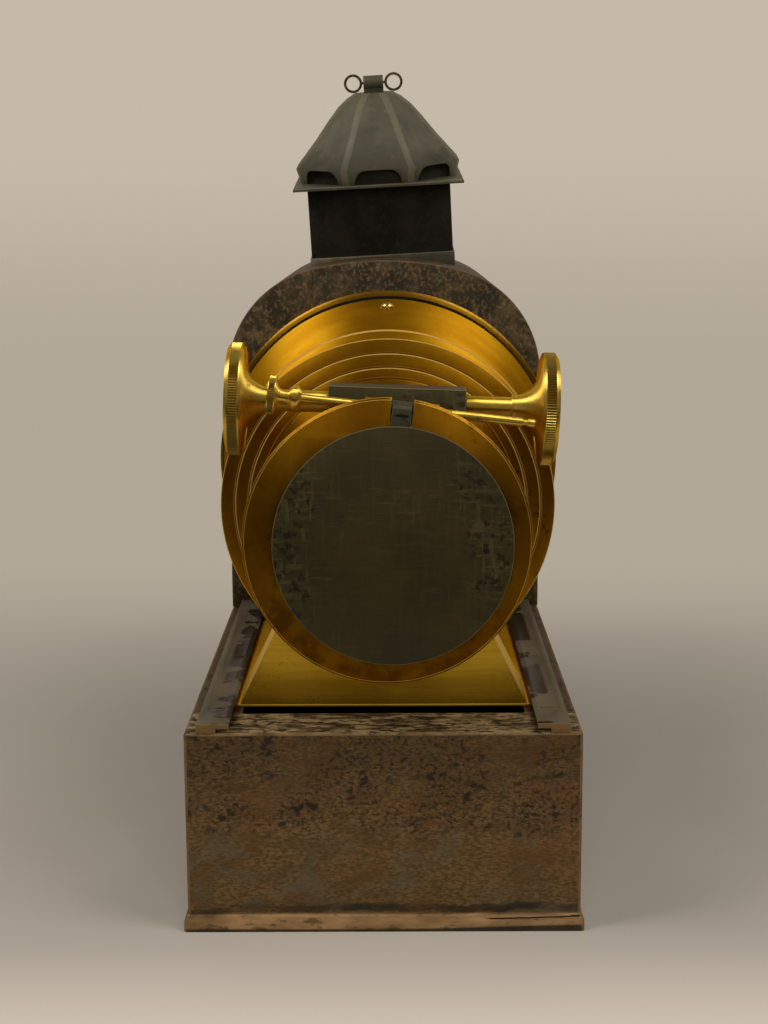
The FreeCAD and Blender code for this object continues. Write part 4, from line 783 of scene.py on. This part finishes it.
def milled(radius, start, end, teeth, depth):
    """A rim with straight milling: a band of fine ridges between two places along Y, with every other flank
    painted dark as shade.
    """
    shape = bmesh.new()
    ring = bmesh.ops.create_circle(shape, cap_ends=False, radius=radius, segments=2 * teeth)["verts"]
    bmesh.ops.rotate(shape, matrix=Matrix.Rotation(math.radians(90), 3, "X"), verts=ring)
    for step, corner in enumerate(ring):
        corner.co *= 1 - (step % 2) * depth / radius
    bmesh.ops.translate(shape, vec=(0, start, 0), verts=ring)
    made = bmesh.ops.extrude_edge_only(shape, edges=shape.edges[:])["geom"]
    far_ring = [part for part in made if isinstance(part, bmesh.types.BMVert)]
    bmesh.ops.translate(shape, vec=(0, end - start, 0), verts=far_ring)
    for face in shape.faces:
        middle = face.calc_center_median()
        face.material_index = math.floor(math.atan2(middle.z, middle.x) / math.pi * teeth) % 2
    return shape


def joined(*shapes):
    """Several shapes as one."""
    whole = shapes[0]
    for shape in shapes[1:]:
        loose = bpy.data.meshes.new("loose_shape")
        shape.to_mesh(loose)
        shape.free()
        whole.from_mesh(loose)
        bpy.data.meshes.remove(loose)
    return whole


for side, side_turn, near in (("right", -90, 28.4), ("left", 90, 24.4)):
    hub = turned([(2.4, near), (4.2, near), (4.2, 45.3), (5.0, 45.6), (5.0, 46.4), (4.9, 46.9),
                  (5.4, 49.1), (6.4, 51.1), (7.9, 53.1), (10.2, 54.8), (13.6, 55.9), (18.4, 56.2),
                  (19.9, 56.2), (21.0, 56.9), (21.0, 61.6), (19.9, 62.6), (12.0, 62.6), (10.8, 61.7),
                  (2.4, 61.7)], 0.00018, 128)
    rim = milled(knob_radius, 0.0574, 0.0610, 132, 0.00046)
    for face in rim.faces:
        face.smooth = False
    rear_lip = turned([(21.0, 56.7), (21.34, 56.85), (21.4, 57.15), (21.25, 57.45), (21.0, 57.5)], 0, 128)
    front_lip = turned([(21.0, 60.9), (21.25, 60.95), (21.4, 61.25), (21.34, 61.55), (21.0, 61.7)], 0, 128)
    knob_shape = joined(hub, rim, rear_lip, front_lip)
    knob_pose = Matrix.Translation((0, pinion_y, pinion_rise))
    knob_pose = knob_pose @ Matrix.Rotation(math.radians(side_turn), 4, "Z")
    bmesh.ops.transform(knob_shape, matrix=knob_pose, verts=knob_shape.verts)
    knob = settle("knob_milled_" + side, on_lens_axis(knob_shape, lens_roll), knob_pale, "pinion",
                  "lacquered_brass", "knob_" + side)
    knob.data.materials.append(knob_groove_shade)
coat(steel, "pinion_shaft")


# Focusing tube. A brass tube that slides in the jacket by its rack, with a lens in a cell at each end;
# its broad front flange is lacquered orange-brown, scuffed and painted darker as shade toward the lower edge,
# and notched for the shutter's clip.
hood_bright = (0.40, 0.185, 0.008)
hood_deep = (0.30, 0.118, 0.004)
hood_grime_and_shade = (0.075, 0.025, 0.002)
hood_lacquer = brass_of("orange_flange_lacquer", hood_bright, hood_deep, 0.50, spots=0.9, lathe="Y")
tree = hood_lacquer.node_tree
shader = tree.nodes["Principled BSDF"]
hood_tone = shader.inputs["Base Color"].links[0].from_socket
place = tree.nodes.new("ShaderNodeTexCoord").outputs["Object"]
# Scuffing and painted shade: the flange is coloured darker toward its lower edge.
hood_low_shade = ease(tree, axes_of(tree, place)[2], lens_axis + 0.004, lens_axis - 0.048, 0, 0.85)
scuff = ease(tree, mottle(tree, place, 90, shift=5.1, detail=7), 0.40, 0.62, 0.6, 1.0)
hood_tone = overlay(tree, combine(tree, "MULTIPLY", hood_low_shade, scuff), hood_tone, hood_grime_and_shade)
patch = ease(tree, mottle(tree, place, 42, shift=2.4, detail=9), 0.50, 0.60, 0, 0.6)
patch_zone = ease(tree, axes_of(tree, place)[2], lens_axis + 0.040, lens_axis - 0.010)
patch = combine(tree, "MULTIPLY", patch, patch_zone)
hood_tone = overlay(tree, patch, hood_tone, hood_grime_and_shade)
tree.links.new(hood_tone, shader.inputs["Base Color"])
shader.inputs["Anisotropic"].default_value = 0.8
tube_shape = turned([(36.2, -201.8), (37.6, -201.8), (37.6, -125), (36.2, -125)], 0.0002)
tube_shape = on_lens_axis(tube_shape, lens_roll)
settle("focus_brass_tube", tube_shape, lacquer, "focus", "lacquered_brass", "focus_tube")
hood_shape = softened("hood_flange", 0.0004)
hood = settle("hood_brass_flange", hood_shape, hood_lacquer, "focus", "lacquered_brass", "hood_flange")
rub_and_highlight_edges(hood, rubbed_edge_highlight)
coat(plain_brass, "focus_rack", "front_lens_cell", "rear_lens_cell")
coat(clear_glass, "front_lens", "rear_lens")


# Flashing shutter. A black enamelled disc hung in front of the lens by a slotted steel clip on a cross rod,
# swung up by a turned brass handle with a milled grip at the rod's left end; the rod is painted dark at the
# clip as shade.
disc_black = enamel_of("rubbed_disc_enamel", (0.0205, 0.0160, 0.0036), (0.11, 0.085, 0.04), 0.50, 0.7, 0.38,
                       rubbed_from=0.016)
rod_y = -0.1975
rod_rise = 0.0485
disc_off_axis = (0.0022, 0, -0.0009)
disc_shape = turned([(0, -206.6), (44.2, -206.6), (44.2, -205.4), (0, -205.4)], 0.0003, 200)
bmesh.ops.translate(disc_shape, vec=disc_off_axis, verts=disc_shape.verts)
disc_shape = on_lens_axis(disc_shape, shutter_roll)
settle("shutter_black_disc", disc_shape, disc_black, "shutter", "black_enamel", "shutter_disc")
clip_steel = enamel_of("darkened_clip_steel", (0.026, 0.023, 0.0135), (0.10, 0.085, 0.055), 0.60, 0.5, 0.3)
clip_shape = softened("shutter_clip", 0.0002)
settle("shutter_steel_clip", clip_shape, clip_steel, "shutter", "dark_steel", "shutter_clip")
grip = turned([(0, -36.6), (2.3, -36.6), (3.6, -37.1), (4.6, -38.0), (4.6, -39.6), (3.6, -40.5),
               (2.7, -41.0), (2.4, -42.8), (2.7, -44.2), (3.4, -45.1), (5.4, -45.9), (6.6, -46.1),
               (6.6, -48.9), (5.6, -49.0), (0, -49.0)], 0.00018, 96)
grip_rim = milled(0.0070, -0.0486, -0.0464, 62, 0.00032)
for face in grip_rim.faces:
    face.smooth = False
grip_near_lip = turned([(6.5, -46.1), (6.95, -46.2), (6.95, -46.45), (6.5, -46.5)], 0, 96)
grip_far_lip = turned([(6.5, -48.5), (6.95, -48.55), (6.95, -48.85), (6.5, -48.9)], 0, 96)
handle_shape = joined(grip, grip_rim, grip_near_lip, grip_far_lip)
handle_pose = Matrix.Translation((0, rod_y, rod_rise)) @ Matrix.Rotation(math.radians(-90), 4, "Z")
bmesh.ops.transform(handle_shape, matrix=handle_pose, verts=handle_shape.verts)
handle = settle("shutter_turned_handle", on_lens_axis(handle_shape, shutter_roll), knob_pale, "shutter",
                "lacquered_brass", "shutter_handle")
handle.data.materials.append(knob_groove_shade)
# Painted shade: a thin black box sits in the clip's slot, for the dark seen through it.
slot_size = (0.0046, 0.0003, 0.0009)
slot_at = (0.0002, -0.20532, 0.0470)
slot_shape = bmesh.new()
bmesh.ops.create_cube(slot_shape, size=1)
bmesh.ops.scale(slot_shape, vec=slot_size, verts=slot_shape.verts)
bmesh.ops.translate(slot_shape, vec=slot_at, verts=slot_shape.verts)
settle("shutter_clip_slot", on_lens_axis(slot_shape, shutter_roll), gap_shade_black, "shutter", "dark_steel")
rod_middle = lens_axis_x + rod_rise * math.sin(shutter_roll)
rod_brass = brass_of("cross_rod_shaded_at_clip", (0.84, 0.60, 0.115), (0.65, 0.42, 0.055), 0.46, spots=0.6, lathe="X")
tree = rod_brass.node_tree
shader = tree.nodes["Principled BSDF"]
rod_tone = shader.inputs["Base Color"].links[0].from_socket
place = tree.nodes.new("ShaderNodeTexCoord").outputs["Object"]
# Painted shade: the rod is coloured dark close to the clip, for the shade in the gaps beside it.
from_clip = combine(tree, "SUBTRACT", axes_of(tree, place)[0], rod_middle)
from_clip = combine(tree, "ABSOLUTE", from_clip, 0)
rod_tone = overlay(tree, ease(tree, from_clip, 0.0062, 0.0048), rod_tone, (0.030, 0.018, 0.005))
tree.links.new(rod_tone, shader.inputs["Base Color"])
coat(rod_brass, "shutter_rod")


# Chimney. A square sheet-iron tube, sooty black, that slides on a stub in the lamphouse roof
# and carries a flat plate and a cowl.
soot, tree, shader, place = new_finish("sooty_black_iron")
soot_cloud = ease(tree, mottle(tree, place, 60), 0.36, 0.66)
black = overlay(tree, soot_cloud, (0.0105, 0.0100, 0.0062), (0.0180, 0.0172, 0.0110))
soot_specks = ease(tree, mottle(tree, place, 480, shift=2.8, detail=6), 0.55, 0.66, 0, 0.6)
black = overlay(tree, soot_specks, black, (0.026, 0.024, 0.015))
black = overlay(tree, combine(tree, "MULTIPLY", worn_share(tree), 0.5), black, (0.050, 0.045, 0.030))
tree.links.new(black, shader.inputs["Base Color"])
shader.inputs["Specular IOR Level"].default_value = 0.12
tree.links.new(ease(tree, mottle(tree, place, 220), 0.3, 0.7, 0.56, 0.70), shader.inputs["Roughness"])
relief(tree, shader, mottle(tree, place, 420, detail=6), 0.00012)
settle("chimney_iron_tube", softened("chimney_tube", 0.0004), soot, "chimney", "black_iron", "chimney_tube")
coat(soot, "flue_stub")


# Cowl. An umbrella of eight tinned-iron gores with soft folded ridges between them, on a flat plate;
# it stands on eight turned-in feet with the smoke vents between them and a sooty baffle inside.
# A strip of tin seats the chimney on the roof, and a rolled strap on top grips a wire with two eyes.
chimney_foot = (-0.0008, 0.084, 0.251337)
chimney_lean = 2.9
chimney_tip = 6.5
cowl_low = 0.0362
cowl_rim_rise = 0.0075
cowl_tall = 0.0421
cowl_wall = 0.0007
cowl_wide = 0.0446
cowl_foot_wide = 0.0424
cowl_levels = ((0.34, 0.0339), (0.62, 0.0260), (0.81, 0.0201), (0.93, 0.0149), (1.0, 0.0105))
ridge_half_wide = 0.0019
vent_half_wide = 0.0125
vent_lip = 0.0005
tin, tree, shader, place = new_finish("dull_olive_tin")
tin_cloud = ease(tree, mottle(tree, place, 40, (1, 1, 0.5)), 0.36, 0.66)
olive = overlay(tree, tin_cloud, (0.046, 0.041, 0.024), (0.076, 0.067, 0.040))
tin_stain = ease(tree, mottle(tree, place, 80, shift=4.7), 0.52, 0.68, 0, 0.7)
olive = overlay(tree, tin_stain, olive, (0.034, 0.034, 0.024))
tin_bare = ease(tree, mottle(tree, place, 150, shift=7.1), 0.60, 0.68, 0, 0.5)
olive = overlay(tree, tin_bare, olive, (0.115, 0.094, 0.050))
# Wear and painted highlight: the cowl's ridges and rounded edges are coloured paler.
olive = overlay(tree, combine(tree, "MULTIPLY", worn_share(tree), 0.45), olive, (0.125, 0.108, 0.060))
tree.links.new(olive, shader.inputs["Base Color"])
shader.inputs["Specular IOR Level"].default_value = 0.3
tree.links.new(ease(tree, mottle(tree, place, 180), 0.3, 0.7, 0.48, 0.62), shader.inputs["Roughness"])
relief(tree, shader, mottle(tree, place, 160, detail=6), 0.00022)



def eight_sided(shape, levels):
    """Skin eight flat sides through levels of reach and height, and return the top ring's corners."""
    turns = [math.radians(22.5 + 45 * step) for step in range(8)]
    ring_below = None
    for reach, height in levels:
        ring = [shape.verts.new((reach * math.cos(turn), reach * math.sin(turn), height)) for turn in turns]
        if ring_below:
            for step in range(8):
                shape.faces.new((ring_below[step - 1], ring_below[step], ring[step], ring[step - 1]))
        ring_below = ring
    return ring_below


cowl_rim = cowl_low + cowl_rim_rise
cowl_rise = cowl_tall - cowl_rim_rise
cowl_rings = [(reach, cowl_rim + share * cowl_rise) for share, reach in ((0.0, cowl_wide), *cowl_levels)]
cowl_shape = bmesh.new()
cowl_top = eight_sided(cowl_shape, cowl_rings)
cowl_shape.faces.new(cowl_top)
cowl_worn_and_lit = cowl_shape.faces.layers.float.new("worn")
hips = [line for line in cowl_shape.edges if abs(line.verts[0].co.z - line.verts[1].co.z) > 0.001]
ridges = bmesh.ops.bevel(cowl_shape, geom=hips, offset=ridge_half_wide, segments=3, profile=0.5,
                         affect="EDGES", material=-1, clamp_overlap=True)["faces"]
for ridge in ridges:
    ridge[cowl_worn_and_lit] = 1.0
rim_lines = [line for line in cowl_shape.edges
             if line.is_boundary and line.calc_length() > 4 * ridge_half_wide]
bmesh.ops.subdivide_edges(cowl_shape, edges=rim_lines, cuts=23)
rim_lines = [line for line in cowl_shape.edges if line.is_boundary]
made = bmesh.ops.extrude_edge_only(cowl_shape, edges=rim_lines)["geom"]
for corner in [part for part in made if isinstance(part, bmesh.types.BMVert)]:
    gore_turn = round(math.atan2(corner.co.y, corner.co.x) / math.radians(45)) * math.radians(45)
    sideways = abs(corner.co.dot(Vector((-math.sin(gore_turn), math.cos(gore_turn), 0)))) / vent_half_wide
    open_share = (1 - vent_lip / cowl_rim_rise) * (1 - sideways ** 6 if sideways < 1 else 0)
    inward = 1 - (1 - cowl_foot_wide / cowl_wide) * (1 - open_share)
    corner.co = Vector((corner.co.x * inward, corner.co.y * inward, cowl_low + cowl_rim_rise * open_share))
bmesh.ops.recalc_face_normals(cowl_shape, faces=cowl_shape.faces)
bmesh.ops.solidify(cowl_shape, geom=cowl_shape.faces, thickness=cowl_wall)
smooth_between(cowl_shape, 62)
chimney_pose = Matrix.Translation(chimney_foot) @ Matrix.Rotation(math.radians(-chimney_lean), 4, "Y")
chimney_pose = chimney_pose @ Matrix.Rotation(math.radians(chimney_tip), 4, "X")
bmesh.ops.transform(cowl_shape, matrix=chimney_pose, verts=cowl_shape.verts)
settle("cowl_ribbed_umbrella", cowl_shape, tin, "chimney", "dull_tin", "cowl")
baffle_reach = 0.0405
baffle_top = cowl_rim + 0.0016
baffle_wall = 0.0006
baffle_shape = bmesh.new()
eight_sided(baffle_shape, ((baffle_reach, cowl_low), (baffle_reach, baffle_top)))
bmesh.ops.recalc_face_normals(baffle_shape, faces=baffle_shape.faces)
bmesh.ops.solidify(baffle_shape, geom=baffle_shape.faces, thickness=baffle_wall)
smooth_between(baffle_shape)
bmesh.ops.transform(baffle_shape, matrix=chimney_pose, verts=baffle_shape.verts)
settle("cowl_sooty_baffle", baffle_shape, soot, "chimney", "black_iron")
settle("cowl_tin_plate", softened("cowl_plate", 0.0003), tin, "chimney", "dull_tin", "cowl_plate")
seat_tin, tree, shader, place = new_finish("rubbed_seat_tin_shaded_right")
seat_cloud = ease(tree, mottle(tree, place, 160, detail=7), 0.36, 0.64)
tan = overlay(tree, seat_cloud, (0.150, 0.118, 0.072), (0.085, 0.070, 0.042))
# Painted shade: the seat is coloured darker toward its right end.
tan = overlay(tree, ease(tree, axes_of(tree, place)[0], -0.008, 0.022, 0, 0.75), tan, (0.036, 0.034, 0.022))
tan = overlay(tree, combine(tree, "MULTIPLY", worn_share(tree), 0.6), tan, (0.165, 0.135, 0.085))
tree.links.new(tan, shader.inputs["Base Color"])
shader.inputs["Specular IOR Level"].default_value = 0.2
tree.links.new(ease(tree, mottle(tree, place, 300), 0.3, 0.7, 0.50, 0.64), shader.inputs["Roughness"])
settle("chimney_tin_seat", softened("chimney_seat", 0.0008), seat_tin, "lantern", "dull_tin", "chimney_seat")
settle("cap_rolled_strap", softened("cap_strap", 0.0002), tin, "chimney", "dull_tin", "cap_strap")
coat(iron, "cap_wire")


# Lamp. A flat brass oil tank with two flat wicks, their winders, a gallery, a flue with glass panes
# and a silvered reflector, drawn out through the back by its iron shield.
char_low = 0.1365
char_high = 0.1385
coat(plain_brass, "filler_cap", "wick_winder_left", "wick_winder_right", "wick_tubes")
settle("lamp_brass_tank", softened("lamp_tank", 0.0008), plain_brass, "lamp", "plain_brass", "lamp_tank")
gallery_shape = softened("burner_gallery", 0.0005)
settle("lamp_brass_gallery", gallery_shape, plain_brass, "lamp", "plain_brass", "burner_gallery")
settle("lamp_iron_shield", softened("lamp_shield", 0.0004), iron, "lamp", "blued_iron", "lamp_shield")
coat(soot, "flue")
coat(clear_glass, "flue_panes")
silver, tree, shader, place = new_finish("silvered_reflector")
tarnish = ease(tree, mottle(tree, place, 50), 0.4, 0.7)
bright = overlay(tree, tarnish, (0.86, 0.85, 0.82), (0.66, 0.63, 0.56))
tree.links.new(bright, shader.inputs["Base Color"])
shader.inputs["Metallic"].default_value = 1.0
tree.links.new(ease(tree, mottle(tree, place, 120), 0.3, 0.7, 0.06, 0.16), shader.inputs["Roughness"])
coat(silver, "reflector")
cotton, tree, shader, place = new_finish("woven_wick_cotton")
weave = tree.nodes.new("ShaderNodeTexWave")
weave.inputs["Scale"].default_value = 500
tree.links.new(place, weave.inputs["Vector"])
char = ease(tree, axes_of(tree, place)[2], char_low, char_high)
thread = overlay(tree, weave.outputs["Fac"], (0.42, 0.36, 0.24), (0.62, 0.56, 0.42))
tree.links.new(overlay(tree, char, thread, (0.02, 0.017, 0.014)), shader.inputs["Base Color"])
shader.inputs["Roughness"].default_value = 0.95
coat(cotton, "wicks")
